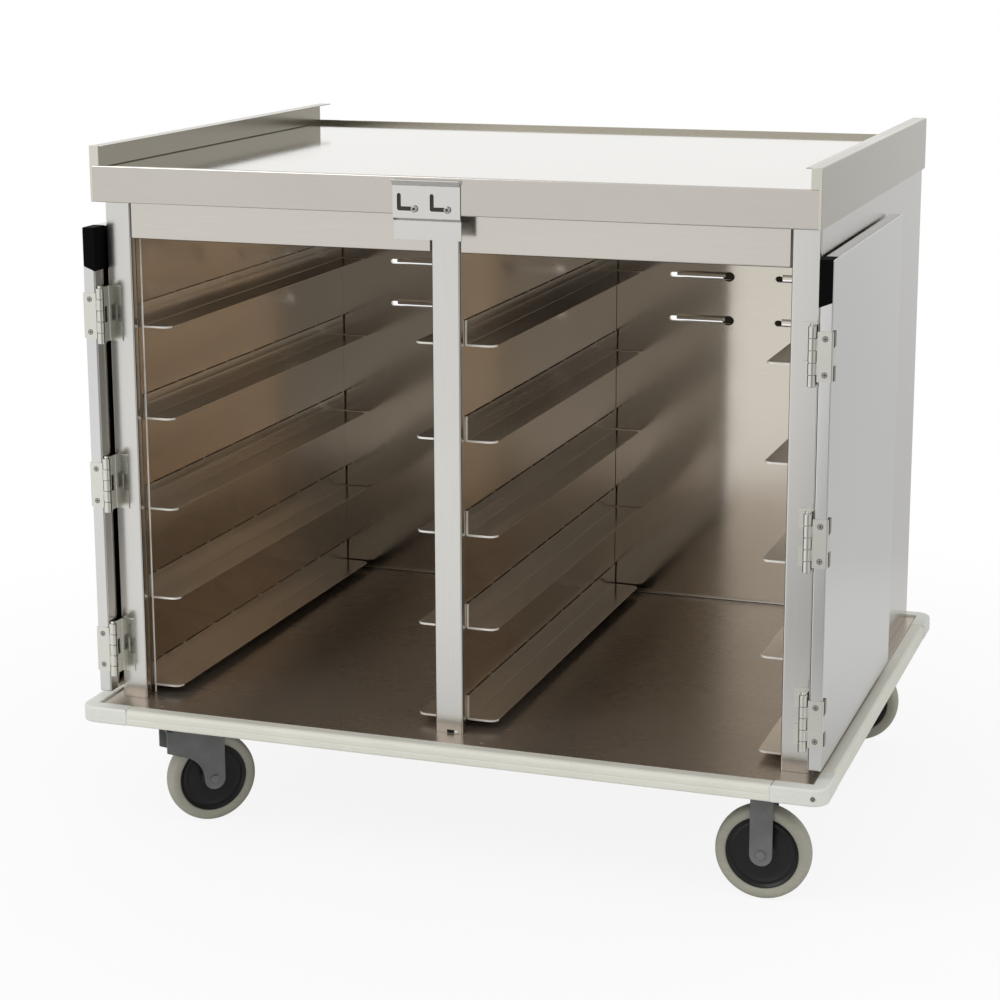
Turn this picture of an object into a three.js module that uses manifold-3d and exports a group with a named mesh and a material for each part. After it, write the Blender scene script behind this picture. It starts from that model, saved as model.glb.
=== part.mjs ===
// Enclosed meal tray cart: a low two-door cabinet of folded stainless sheet on a bumpered
// platform with four 6 inch casters. Two bays hold five levels of tray slides each, two trays
// deep. Both doors stand open, folded back flat against the side walls.
// Millimetres, +Z up, +X right, +Y to the back. The origin is on the floor under the middle
// of the cart.
import * as THREE from "three";
import { mergeVertices } from "three/addons/utils/BufferGeometryUtils.js";
import Module from "manifold-3d";

const wasm = await Module();
wasm.setup();

// ------------------------------------------------------------------ driving dimensions
const fit = 0.3; // gap between faces that touch on the real cart
const sheet = 1.5; // stainless sheet of the cabinet

// Heights stack up from the floor: caster, cross member, doorway, header.
const caster = { height: 190.7, fromSide: 102, rigidFromSide: 73, fromFace: 30, fromBack: 76 };
const crossMember = { width: 120, depth: 29, wall: 3, endGap: 60 };
const doorway = { height: 770 };
const header = { height: 112, seam: 2.5, lip: 15 };

const cabinet = { width: 1160, depth: 876 };
const post = { side: 44, centre: 46, depth: 15.5 }; // folded front posts
const wallThickness = { side: 38, centre: 34 }; // double-skinned walls behind the posts
const deck = { frontLedge: 50, rearLedge: 4, sideLedge: 18, skirt: 24 };
const bumper = { reach: 24, height: 26.5, crease: 12, creaseDepth: 1.5, nose: 8, foot: 3 };
const bumperCorner = { arm: 85, proud: 1.2, radius: 26, bevel: 4 };

const worktop = { frontEdge: 7, edgeHem: 8, fascia: 58, frontReach: 36, sideReach: 5 };
const rail = { rise: 38, flange: 24, frontReturn: 8 };
const headerStrip = 6; // the lapping strip starts this far above the fascia's lower edge
const vent = { length: 120, height: 9, belowTop: [262, 344], offset: 99.5 };

const slides = { levels: 5, aboveDeck: 14.5, pitch: 152, ledge: 50, upright: 40, corner: 14 };
const slideEnds = { front: 36, back: 6 }; // setbacks from the post faces and the back panel

const door = { thickness: 21, postGap: 5, meeting: 3, skin: 1.2, aboveDeck: 17, headerLap: 19 };
const doorCap = { height: 70, reach: 36, slope: 8 }; // moulded cap in the top hinge corner
const doorDrain = { length: 40, width: 6 };
const hingePin = { inset: 4, stand: 34, radius: 3.2 }; // from the side face and the post face
const hinge = { fromBottom: 74, fromTop: 141, length: 90, barrel: 6.5, knuckles: 5, pinHead: 4 };
const hingeLeaf = { thickness: 1.7, height: 74, wrap: 17, slack: 1, tab: 26, notch: 7 };
const hingeBracket = { thickness: 2, flange: 24, window: 26, notchDepth: 10, windowDepth: 15 };

const latch = { left: -70.5, width: 108.5, sheet: 2, aboveFascia: 44, doorGap: 4, joggle: 4.5 };
const latchLip = { length: 11, lean: 40 };
const latchSlot = { width: 6.4, slide: 25, drop: 20, spacing: 53, firstScrew: -35.2, level: 9 };
const latchScrew = { shank: 2.7, head: 5.5, headHeight: 3 };

const wheel = { radius: 76.2, width: 32, rim: 63.5, bore: 5.4, boss: 15, web: 16, facets: 32 };
const casterPlate = { side: 100, thickness: 4, race: 31, raceHeight: 8 };
const fork = { leg: 3, sideGap: 3.5, halfWidth: 18, trail: 38 };
const forkCrown = { back: 44, cup: 35, cupHeight: 6.4, skirt: 39, sweep: 48 };
const axle = { radius: 5, head: 9, headHeight: 4 };
const swivelAngles = { front: 45, rear: 30 }; // degrees about +Z at rest

// ------------------------------------------------------------------ places worked out
const deckTop = caster.height + fit + crossMember.depth;
const doorwayTop = deckTop + doorway.height;
const worktopTop = doorwayTop + header.height;
const worktopEdge = worktopTop + worktop.frontEdge;
const fasciaBottom = worktopEdge - worktop.fascia;
const railTop = worktopTop + rail.rise;
const topUnderside = worktopTop - sheet;
const doorBottom = deckTop + door.aboveDeck;
const doorTop = doorwayTop + door.headerLap;
const memberBottom = caster.height + fit;
const bumperBottom = deckTop - deck.skirt;
const wheelCentre = wheel.radius * Math.cos(Math.PI / wheel.facets); // stands on a facet

const halfWidth = cabinet.width / 2;
const deckHalfX = halfWidth + deck.sideLedge;
const deckHalfY = (deck.frontLedge + cabinet.depth + deck.rearLedge) / 2;
const postFace = deck.frontLedge - deckHalfY; // Y of the posts' front faces
const backFace = postFace + cabinet.depth;
const fasciaFace = postFace - worktop.frontReach;
const railFace = halfWidth + worktop.sideReach;
const skirtBack = backFace + fit + sheet;
const casterRows = { front: postFace + caster.fromFace, rear: backFace - caster.fromBack };
const swivelX = -halfWidth + caster.fromSide;
const rigidX = halfWidth - caster.rigidFromSide;
const bays = {
  left: { from: -halfWidth + wallThickness.side, to: -wallThickness.centre / 2 },
  right: { from: wallThickness.centre / 2, to: halfWidth - wallThickness.side },
};

// ------------------------------------------------------------------ shape helpers
function solidFrom(geometry) {
  const bare = geometry.clone();
  bare.deleteAttribute("normal");
  bare.deleteAttribute("uv");
  const merged = mergeVertices(bare, 1e-4);
  return new wasm.Manifold(
    new wasm.Mesh({
      numProp: 3,
      vertProperties: merged.attributes.position.array,
      triVerts: new Uint32Array(merged.index.array),
    }),
  );
}

function geometryFrom(solid) {
  const mesh = solid.getMesh();
  const geometry = new THREE.BufferGeometry();
  geometry.setAttribute("position", new THREE.BufferAttribute(mesh.vertProperties, 3));
  geometry.setIndex(new THREE.BufferAttribute(mesh.triVerts, 1));
  geometry.computeVertexNormals();
  return geometry;
}

function block([x0, x1], [y0, y1], [z0, z1]) {
  const box = new THREE.BoxGeometry(x1 - x0, y1 - y0, z1 - z0);
  return solidFrom(box.translate((x0 + x1) / 2, (y0 + y1) / 2, (z0 + z1) / 2));
}

// A flat outline pushed along an axis. Its points are (y, z) for x, (x, z) for y, (x, y) for z.
function prism(axis, [from, to], outline, holes = []) {
  const wound = (loop, clockwise) => {
    const points = loop.map(([a, b]) => new THREE.Vector2(...(axis === "y" ? [b, a] : [a, b])));
    return THREE.ShapeUtils.isClockWise(points) === clockwise ? points : points.reverse();
  };
  const shape = new THREE.Shape(wound(outline, false));
  shape.holes = holes.map((hole) => new THREE.Path(wound(hole, true)));
  const geometry = new THREE.ExtrudeGeometry(shape, { depth: to - from, bevelEnabled: false });
  const [x, y, z] = [
    new THREE.Vector3(1, 0, 0),
    new THREE.Vector3(0, 1, 0),
    new THREE.Vector3(0, 0, 1),
  ];
  const frames = { x: [y, z, x], y: [z, x, y], z: [x, y, z] };
  geometry.applyMatrix4(new THREE.Matrix4().makeBasis(...frames[axis]));
  const along = { x: [from, 0, 0], y: [0, from, 0], z: [0, 0, from] };
  return solidFrom(geometry.translate(...along[axis]));
}

function rod(axis, [a, b], radius, [from, to], sides = 24) {
  const geometry = new THREE.CylinderGeometry(radius, radius, to - from, sides);
  const middle = (from + to) / 2;
  if (axis === "x") geometry.rotateZ(-Math.PI / 2).translate(middle, a, b);
  if (axis === "y") geometry.translate(a, middle, b);
  if (axis === "z") geometry.rotateX(Math.PI / 2).translate(a, b, middle);
  return solidFrom(geometry);
}

function arc([a, b], radius, fromDegrees, toDegrees, steps = 6) {
  return Array.from({ length: steps + 1 }, (_, i) => {
    const angle = THREE.MathUtils.degToRad(fromDegrees + ((toDegrees - fromDegrees) * i) / steps);
    return [a + radius * Math.cos(angle), b + radius * Math.sin(angle)];
  });
}

function stadium([a, b], length, height) {
  const r = height / 2;
  const reach = length / 2 - r;
  return [...arc([a + reach, b], r, -90, 90), ...arc([a - reach, b], r, 90, 270)];
}

function join(...solids) {
  return solids.reduce((whole, next) => whole.add(next));
}

function mirrored(solid) {
  return solid.mirror([1, 0, 0]);
}

// ------------------------------------------------------------------ materials
function finish(color, roughness, metalness) {
  return new THREE.MeshStandardMaterial({ color, roughness, metalness });
}
const brushedSteel = finish(0xc8c5bf, 0.35, 1);
const brightSteel = finish(0xe4e3dc, 0.18, 1);
const creamVinyl = finish(0xd8d8c6, 0.55, 0);
const paleMoulding = finish(0xe2e4dc, 0.5, 0);
const zincGrey = finish(0x6a6a6c, 0.45, 0.8);
const greyRubber = finish(0x9e9c8c, 0.75, 0);

const cart = new THREE.Group();
function place(name, solid, material, parent = cart) {
  const mesh = new THREE.Mesh(geometryFrom(solid), material);
  mesh.name = name;
  parent.add(mesh);
}

// ------------------------------------------------------------------ platform
// The deck is one pan with a turned-down skirt. A hat-section cross member lies under it at
// each row of casters.
function platform() {
  const under = deckTop - sheet;
  const pan = block(
    [-deckHalfX, deckHalfX],
    [-deckHalfY, deckHalfY],
    [deckTop - deck.skirt, deckTop],
  );
  const hollow = block(
    [-deckHalfX + sheet, deckHalfX - sheet],
    [-deckHalfY + sheet, deckHalfY - sheet],
    [deckTop - deck.skirt - 1, under],
  );
  const members = Object.values(casterRows).map((y) => {
    const half = crossMember.width / 2;
    const w = crossMember.wall;
    const section = [
      [y - half, under + sheet / 2],
      [y - half, memberBottom],
      [y + half, memberBottom],
      [y + half, under + sheet / 2],
      [y + half - w, under + sheet / 2],
      [y + half - w, memberBottom + w],
      [y - half + w, memberBottom + w],
      [y - half + w, under + sheet / 2],
    ];
    const reach = deckHalfX - crossMember.endGap;
    return prism("x", [-reach, reach], section);
  });
  return join(pan.subtract(hollow), ...members);
}
place("platform", platform(), brushedSteel);

// ------------------------------------------------------------------ bumper
// Vinyl strip with a crease along its face, closed at the corners by moulded elbows.
function bumperSection(start) {
  const bottom = bumperBottom;
  const top = bottom + bumper.height;
  const out = start + bumper.reach;
  const crease = bottom + bumper.crease;
  const { creaseDepth, nose, foot } = bumper;
  return [
    [start, bottom],
    [out - foot, bottom],
    [out, bottom + foot],
    [out, crease - creaseDepth],
    [out - creaseDepth, crease],
    [out, crease + creaseDepth],
    ...arc([out - nose, top - nose], nose, 0, 90, 4),
    [start, top],
  ];
}
const stripStart = { x: deckHalfX + fit, y: deckHalfY + fit };
const stripEnd = {
  x: stripStart.x + bumper.reach - bumperCorner.arm - fit,
  y: stripStart.y + bumper.reach - bumperCorner.arm - fit,
};
function longBumper() {
  return prism("x", [-stripEnd.x, stripEnd.x], bumperSection(stripStart.y));
}
function sideBumper() {
  return prism("y", [-stripEnd.y, stripEnd.y], bumperSection(stripStart.x));
}
function cornerBumper() {
  const { proud, radius, bevel } = bumperCorner;
  const reach = bumper.reach + proud;
  const [outX, outY] = [stripStart.x + reach, stripStart.y + reach];
  const [armX, armY] = [stripEnd.x + fit, stripEnd.y + fit];
  const outline = [
    [armX, stripStart.y],
    [stripStart.x, stripStart.y],
    [stripStart.x, armY],
    [outX, armY],
    ...arc([outX - radius, outY - radius], radius, 0, 90, 8),
    [armX, outY],
  ];
  const height = bumper.height + 2 * proud;
  const shape = new THREE.Shape(outline.map(([x, y]) => new THREE.Vector2(x, y)));
  const geometry = new THREE.ExtrudeGeometry(shape, {
    depth: height - 2 * bevel,
    bevelEnabled: true,
    bevelThickness: bevel,
    bevelSize: bevel,
    bevelOffset: -bevel,
    bevelSegments: 3,
  });
  return solidFrom(geometry.translate(0, 0, bumperBottom - proud + bevel));
}
place("bumper_front", longBumper().mirror([0, 1, 0]), creamVinyl);
place("bumper_back", longBumper(), creamVinyl);
place("bumper_left", mirrored(sideBumper()), creamVinyl);
place("bumper_right", sideBumper(), creamVinyl);
place("bumper_corner_back_right", cornerBumper(), paleMoulding);
place("bumper_corner_back_left", mirrored(cornerBumper()), paleMoulding);
place("bumper_corner_front_right", cornerBumper().mirror([0, 1, 0]), paleMoulding);
place("bumper_corner_front_left", mirrored(cornerBumper()).mirror([0, 1, 0]), paleMoulding);

// ------------------------------------------------------------------ cabinet shell
const shellSpan = [deckTop + fit, topUnderside - fit];
const shellBack = backFace - sheet - fit;

// Outer skin, front post, post return and inner skin of one side, folded from one sheet.
function sidePanel() {
  const outer = -halfWidth;
  const postInner = outer + post.side;
  const inner = outer + wallThickness.side;
  const step = postFace + post.depth;
  const outline = [
    [outer, shellBack],
    [outer, postFace],
    [postInner, postFace],
    [postInner, step],
    [inner, step],
    [inner, shellBack],
    [inner - sheet, shellBack],
    [inner - sheet, step - sheet],
    [postInner - sheet, step - sheet],
    [postInner - sheet, postFace + sheet],
    [outer + sheet, postFace + sheet],
    [outer + sheet, shellBack],
  ];
  return prism("z", shellSpan, outline);
}
place("side_panel_left", sidePanel(), brushedSteel);
place("side_panel_right", mirrored(sidePanel()), brushedSteel);

// The partition is a closed double skin whose front end widens into the centre post.
function centrePartition() {
  const ring = (inset) => {
    const postHalf = post.centre / 2 - inset;
    const wallHalf = wallThickness.centre / 2 - inset;
    const step = postFace + post.depth - inset;
    const back = shellBack - inset;
    return [
      [-postHalf, postFace + inset],
      [postHalf, postFace + inset],
      [postHalf, step],
      [wallHalf, step],
      [wallHalf, back],
      [-wallHalf, back],
      [-wallHalf, step],
      [-postHalf, step],
    ];
  };
  return prism("z", shellSpan, ring(0), [ring(sheet)]);
}
place("centre_partition", centrePartition(), brushedSteel);

function ventCentres(bay) {
  const middle = (bay.from + bay.to) / 2;
  return [middle - vent.offset, middle + vent.offset];
}
function backPanel() {
  const outline = [
    [-halfWidth, shellSpan[0]],
    [halfWidth, shellSpan[0]],
    [halfWidth, shellSpan[1]],
    [-halfWidth, shellSpan[1]],
  ];
  const slots = Object.values(bays).flatMap((bay) =>
    ventCentres(bay).flatMap((x) =>
      vent.belowTop.map((drop) => stadium([x, worktopTop - drop], vent.length, vent.height)),
    ),
  );
  return prism("y", [backFace - sheet, backFace], outline, slots);
}
place("back_panel", backPanel(), brushedSteel);

// Two face plates between the posts hang from a strip that laps over all three post heads.
function headerPanel() {
  const strip = block(
    [-halfWidth + sheet, halfWidth - sheet],
    [postFace - fit - sheet, postFace - fit],
    [fasciaBottom + headerStrip, shellSpan[1]],
  );
  const faces = [
    [-halfWidth + post.side + header.seam, -post.centre / 2 - header.seam],
    [post.centre / 2 + header.seam, halfWidth - post.side - header.seam],
  ].map((span) => {
    const section = [
      [postFace - fit - sheet / 2, shellSpan[1]],
      [postFace - fit - sheet / 2, fasciaBottom + headerStrip],
      [postFace, fasciaBottom + headerStrip - sheet],
      [postFace, doorwayTop],
      [postFace + header.lip, doorwayTop],
      [postFace + header.lip, doorwayTop + sheet],
      [postFace + sheet, doorwayTop + sheet],
      [postFace + sheet, shellSpan[1]],
    ];
    return prism("x", span, section);
  });
  return join(strip, ...faces);
}
place("header_panel", headerPanel(), brushedSteel);

// ------------------------------------------------------------------ worktop
// Mirror-finished top with a raised front edge and a rear lip. The fascia and the side rails
// turn down over the cabinet, and each rail stands above the top with a turned-in flange.
function railSide() {
  const outer = railFace;
  const section = [
    [outer, fasciaBottom],
    [outer, railTop],
    [outer - rail.flange, railTop],
    [outer - rail.flange, railTop - sheet],
    [outer - sheet, railTop - sheet],
    [outer - sheet, fasciaBottom],
  ];
  const length = prism("y", [fasciaFace, skirtBack], section);
  const frontReturn = block(
    [outer - rail.frontReturn, outer],
    [fasciaFace, fasciaFace + sheet],
    [fasciaBottom, railTop],
  );
  return join(length, frontReturn);
}

const slotLevel = fasciaBottom + latchSlot.level;
function latchScrews() {
  const head = fasciaFace - fit - latch.sheet - fit;
  return [0, 1].map((i) => {
    const at = [latchSlot.firstScrew + i * latchSlot.spacing, slotLevel];
    return join(
      rod("y", at, latchScrew.shank, [head, fasciaFace + sheet]),
      rod("y", at, latchScrew.head, [head - latchScrew.headHeight, head]),
    );
  });
}

function topPanel() {
  const front = [
    [fasciaFace, fasciaBottom],
    [fasciaFace, worktopEdge],
    [fasciaFace + worktop.edgeHem, worktopEdge],
    [fasciaFace + worktop.edgeHem, worktopTop],
    [skirtBack - sheet, worktopTop],
    [skirtBack - sheet, worktopEdge],
    [skirtBack, worktopEdge],
    [skirtBack, fasciaBottom],
    [skirtBack - sheet, fasciaBottom],
    [skirtBack - sheet, topUnderside],
    [fasciaFace + sheet, topUnderside],
    [fasciaFace + sheet, fasciaBottom + sheet],
    [postFace - 2 * fit - sheet, fasciaBottom + sheet],
    [postFace - 2 * fit - sheet, fasciaBottom],
  ];
  const sheetTop = prism("x", [-railFace, railFace], front);
  return join(sheetTop, railSide(), mirrored(railSide()), ...latchScrews());
}
place("top_panel", topPanel(), brightSteel);

// ------------------------------------------------------------------ latch plate
// It slides sideways on two shoulder screws until they meet the upright legs of its L slots,
// and then drops so that its tongue overlaps the tops of both closed doors.
function latchPlate() {
  const back = fasciaFace - fit;
  const front = back - latch.sheet;
  const top = fasciaBottom + latch.aboveFascia;
  const bend = fasciaBottom - fit - latch.joggle;
  const lean = THREE.MathUtils.degToRad(latchLip.lean);
  const [lipY, lipZ] = [latchLip.length * Math.sin(lean), latchLip.length * Math.cos(lean)];
  const step = latch.joggle;
  const section = [
    [front, top],
    [front, bend],
    [front + step, bend - step],
    [front + step, doorTop + latch.doorGap],
    [back + step, doorTop + latch.doorGap],
    [back + step, bend - step],
    [back, bend],
    [back, top],
    [back - lipY, top + lipZ],
    [front - lipY, top + lipZ],
  ];
  const plate = prism("x", [latch.left, latch.left + latch.width], section);
  const half = latchSlot.width / 2;
  const slots = [0, 1].map((i) => {
    const screw = latchSlot.firstScrew + i * latchSlot.spacing;
    const leg = screw - latchSlot.slide;
    const outline = [
      ...arc([screw, slotLevel], half, -90, 90),
      [leg + half, slotLevel + half],
      ...arc([leg, slotLevel + latchSlot.drop], half, 0, 180),
      ...arc([leg, slotLevel], half, 180, 270, 3),
    ];
    return prism("y", [front - 1, back + 1], outline);
  });
  return plate.subtract(join(...slots));
}
place("latch_plate", latchPlate(), brushedSteel);

// ------------------------------------------------------------------ tray slides
// An L of sheet on each wall: an upright against the wall and a ledge under the tray rims.
function traySlide(wallX, into, level) {
  const z = deckTop + slides.aboveDeck + level * slides.pitch;
  const start = postFace + slideEnds.front;
  const end = backFace - sheet - slideEnds.back;
  const face = wallX + into * fit;
  const r = slides.corner;
  const toX = (reach) => face + into * reach;
  const corner = (y, fromDegrees) =>
    arc([slides.ledge - r, y], r, fromDegrees, fromDegrees + 90, 4).map(([a, b]) => [toX(a), b]);
  const ledge = [
    [toX(0), start],
    ...corner(start + r, -90),
    ...corner(end - r, 0),
    [toX(0), end],
  ];
  const upright = block(
    [Math.min(toX(0), toX(sheet)), Math.max(toX(0), toX(sheet))],
    [start, end],
    [z - sheet, z - sheet + slides.upright],
  );
  return join(prism("z", [z - sheet, z], ledge), upright);
}
for (const [bayName, bay] of Object.entries(bays)) {
  for (let level = 0; level < slides.levels; level += 1) {
    const tag = `${bayName}_bay_${level + 1}`;
    place(`slide_${tag}_left`, traySlide(bay.from, 1, level), brushedSteel);
    place(`slide_${tag}_right`, traySlide(bay.to, -1, level), brushedSteel);
  }
}

// ------------------------------------------------------------------ doors
// Everything on the right door is worked out closed, then turned about the pin to the open
// place, and the left door is its mirror image.
const pin = { x: halfWidth - hingePin.inset, y: postFace - hingePin.stand };
const hingeEnds = [doorBottom + hinge.fromBottom, doorTop - hinge.fromTop];
const hingeHeights = [hingeEnds[0], (hingeEnds[0] + hingeEnds[1]) / 2, hingeEnds[1]];
const doorBack = postFace - door.postGap;
const doorFront = doorBack - door.thickness;
const bracketInner = halfWidth - fit - hingeBracket.thickness;
const leafOuter = bracketInner - fit;
const doorEdge = leafOuter - hingeLeaf.thickness - fit;

function opened(solid) {
  return solid
    .translate([-pin.x, -pin.y, 0])
    .rotate([0, 0, -90])
    .translate([pin.x, pin.y, 0]);
}

// Two skins over a hollow core. A drain slot in the bottom edge opens the hollow.
function doorPan() {
  const meeting = door.meeting / 2;
  const whole = block([meeting, doorEdge], [doorFront, doorBack], [doorBottom, doorTop]);
  const capBottom = doorTop - doorCap.height;
  const core = prism(
    "y",
    [doorFront + door.skin, doorBack - door.skin],
    [
      [meeting + door.skin, doorBottom + door.skin],
      [doorEdge - door.skin, doorBottom + door.skin],
      [doorEdge - door.skin, capBottom - doorCap.slope],
      [doorEdge - doorCap.reach, capBottom],
      [doorEdge - doorCap.reach, doorTop - door.skin],
      [meeting + door.skin, doorTop - door.skin],
    ],
  );
  const middleX = (meeting + doorEdge) / 2;
  const middleY = (doorFront + doorBack) / 2;
  const drain = block(
    [middleX - doorDrain.length / 2, middleX + doorDrain.length / 2],
    [middleY - doorDrain.width / 2, middleY + doorDrain.width / 2],
    [doorBottom - 1, doorBottom + 2 * door.skin],
  );
  return whole.subtract(core).subtract(drain);
}

// Knuckles alternate between bracket and leaf, counted from the top.
const knuckleLength = hinge.length / hinge.knuckles;
function knuckles(centre, own) {
  const top = centre + hinge.length / 2;
  const barrels = [];
  for (let i = 0; i < hinge.knuckles; i += 1) {
    if ((i % 2 === 0) !== own) continue;
    const span = [top - (i + 1) * knuckleLength + fit, top - i * knuckleLength - fit];
    barrels.push(rod("z", [pin.x, pin.y], hinge.barrel, span, 16));
  }
  return join(...barrels);
}

function bracket(centre) {
  const half = hinge.length / 2 - fit;
  const span = [centre - half, centre + half];
  const t = hingeBracket.thickness;
  const outer = bracketInner + t;
  const web = block([bracketInner, outer], [pin.y, postFace - fit], span);
  const flange = block(
    [outer - hingeBracket.flange, outer],
    [postFace - fit - t, postFace - fit],
    span,
  );
  const windowHalf = hingeBracket.window / 2;
  const windowZ = [centre - windowHalf, centre + windowHalf];
  const windowFront = pin.y + hinge.barrel + hingeLeaf.slack + t;
  const webWindow = block(
    [bracketInner - 1, outer + 1],
    [windowFront, windowFront + hingeBracket.windowDepth],
    windowZ,
  );
  const notch = block(
    [outer - hingeBracket.flange - 1, outer - hingeBracket.flange + hingeBracket.notchDepth],
    [postFace - fit - t - 1, postFace],
    windowZ,
  );
  // The leaf's knuckles turn in relief cuts round the pin.
  const relief = [1, 3].map((i) => {
    const top = centre + hinge.length / 2 - i * knuckleLength;
    const cut = [top - knuckleLength - fit, top + fit];
    return rod("z", [pin.x, pin.y], hinge.barrel + hingeLeaf.slack, cut, 16);
  });
  const shell = join(web, flange).subtract(join(webWindow, notch, ...relief));
  const pinSpan = [span[0], span[1] + hinge.pinHead];
  const core = rod("z", [pin.x, pin.y], hingePin.radius, pinSpan, 12);
  return join(shell, knuckles(centre, true), core);
}

function doorLeaf(centre) {
  const half = hingeLeaf.height / 2;
  const span = [centre - half, centre + half];
  const t = hingeLeaf.thickness;
  const wrapFace = doorBack + fit;
  const plateStart = pin.y + hinge.barrel + hingeLeaf.slack;
  const plate = block([leafOuter - t, leafOuter], [plateStart, wrapFace + t], span);
  const wrap = block([leafOuter - hingeLeaf.wrap, leafOuter], [wrapFace, wrapFace + t], span);
  const arms = [1, 3].map((i) => {
    const top = centre + hinge.length / 2 - i * knuckleLength - fit;
    const arm = [top - knuckleLength + 2 * fit, top];
    return block([leafOuter - t, leafOuter], [pin.y, plateStart + 1], arm);
  });
  // Only a tab in the middle joins the outer strip of the wrap to the plate.
  const notches = [
    [span[0] - 1, centre - hingeLeaf.tab / 2],
    [centre + hingeLeaf.tab / 2, span[1] + 1],
  ].map((cut) =>
    block(
      [leafOuter - 2 * t - hingeLeaf.notch, leafOuter - 2 * t],
      [wrapFace - 1, wrapFace + t + 1],
      cut,
    ),
  );
  const boreSpan = [centre - hinge.length, centre + hinge.length];
  const bore = rod("z", [pin.x, pin.y], hingePin.radius + fit, boreSpan, 12);
  return join(plate, wrap, knuckles(centre, false), ...arms).subtract(join(bore, ...notches));
}

const sides = { right: (solid) => solid, left: mirrored };
for (const [side, onSide] of Object.entries(sides)) {
  place(`door_${side}`, onSide(opened(doorPan())), brushedSteel);
  hingeHeights.forEach((centre, i) => {
    const level = ["bottom", "middle", "top"][i];
    place(`hinge_bracket_${side}_${level}`, onSide(bracket(centre)), brushedSteel);
    place(`hinge_leaf_${side}_${level}`, onSide(opened(doorLeaf(centre))), brushedSteel);
  });
}

// ------------------------------------------------------------------ casters
// Each caster is built on its own mounting axis, with the wheel's axle along Y.
const legOut = wheel.width / 2 + fork.sideGap + fork.leg;
const legIn = legOut - fork.leg;
const plateUnder = caster.height - casterPlate.thickness;
const raceUnder = plateUnder - casterPlate.raceHeight;

function wheelSolid() {
  const side = wheel.width / 2;
  const half = [
    [wheel.bore, side + 2],
    [wheel.boss, side + 2],
    [wheel.boss + 2, wheel.web / 2],
    [wheel.rim - 9, wheel.web / 2],
    [wheel.rim - 3, side - 2],
    [wheel.rim + 3, side],
    [wheel.radius - 4, side - 1],
    [wheel.radius, side - 8],
  ];
  const profile = [...half, ...half.map(([r, a]) => [r, -a]).reverse(), half[0]];
  const points = profile.reverse().map(([r, a]) => new THREE.Vector2(r, a));
  const lathe = new THREE.LatheGeometry(points, wheel.facets);
  return solidFrom(lathe.rotateY(Math.PI / wheel.facets));
}

function axleBolt(x) {
  const at = [x, wheelCentre];
  const end = legOut + axle.headHeight;
  return join(
    rod("y", at, axle.radius, [-end, end], 16),
    rod("y", at, axle.head, [-end, -legOut + 0.5], 6),
    rod("y", at, axle.head, [legOut - 0.5, end], 6),
  );
}

function legs(outline) {
  return [
    [-legOut, -legIn],
    [legIn, legOut],
  ].map((span) => prism("y", span, outline));
}

function topPlate() {
  const half = casterPlate.side / 2;
  return block([-half, half], [-half, half], [plateUnder, caster.height]);
}

function swivelFork() {
  const { trail, halfWidth: w } = fork;
  const { back, skirt, sweep } = forkCrown;
  const crownTop = raceUnder - fit - forkCrown.cupHeight;
  const outline = [
    [-back, crownTop],
    [-back, crownTop - skirt],
    ...arc([trail - w - sweep, wheelCentre], sweep, 75, 0),
    ...arc([trail, wheelCentre], w, 180, 360, 10),
    [trail + w, crownTop],
  ];
  const bridge = block([-back, trail + w], [-legOut, legOut], [crownTop - fork.leg, crownTop]);
  const cup = rod("z", [0, 0], forkCrown.cup, [crownTop - 1, raceUnder - fit]);
  return join(bridge, cup, ...legs(outline), axleBolt(trail));
}

function swivelPlate() {
  return join(topPlate(), rod("z", [0, 0], casterPlate.race, [raceUnder, plateUnder + 1]));
}

function rigidFork() {
  const top = caster.height - casterPlate.thickness / 2;
  const outline = [
    [-fork.halfWidth, top],
    ...arc([0, wheelCentre], fork.halfWidth, 180, 360, 10),
    [fork.halfWidth, top],
  ];
  return join(topPlate(), ...legs(outline), axleBolt(0));
}

function mountingAt(x, y, degrees = 0, parent = cart) {
  const group = new THREE.Group();
  group.position.set(x, y, 0);
  group.rotation.z = THREE.MathUtils.degToRad(degrees);
  parent.add(group);
  return group;
}

for (const [row, y] of Object.entries(casterRows)) {
  place(`caster_plate_${row}_left`, swivelPlate(), zincGrey, mountingAt(swivelX, y));
  const turned = mountingAt(swivelX, y, swivelAngles[row]);
  place(`swivel_fork_${row}_left`, swivelFork(), zincGrey, turned);
  const leftHub = mountingAt(fork.trail, 0, 0, turned);
  leftHub.position.z = wheelCentre;
  place(`wheel_${row}_left`, wheelSolid(), greyRubber, leftHub);
  const rigid = mountingAt(rigidX, y);
  place(`rigid_fork_${row}_right`, rigidFork(), zincGrey, rigid);
  const rightHub = mountingAt(0, 0, 0, rigid);
  rightHub.position.z = wheelCentre;
  place(`wheel_${row}_right`, wheelSolid(), greyRubber, rightHub);
}

export default cart;
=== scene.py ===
"""Enclosed meal tray cart: folded stainless cabinet on a bumpered platform with four casters.

The file follows the cart from the floor it stands on up to the worktop, then its latch, tray
slides, doors, hinges and casters. Sizes are in millimetres and become metres when a piece is
made. +Z is up and the open bays face -Y.
"""
import math

import bmesh
import bpy
from mathutils import Matrix, Vector
from mathutils.geometry import tessellate_polygon


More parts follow.
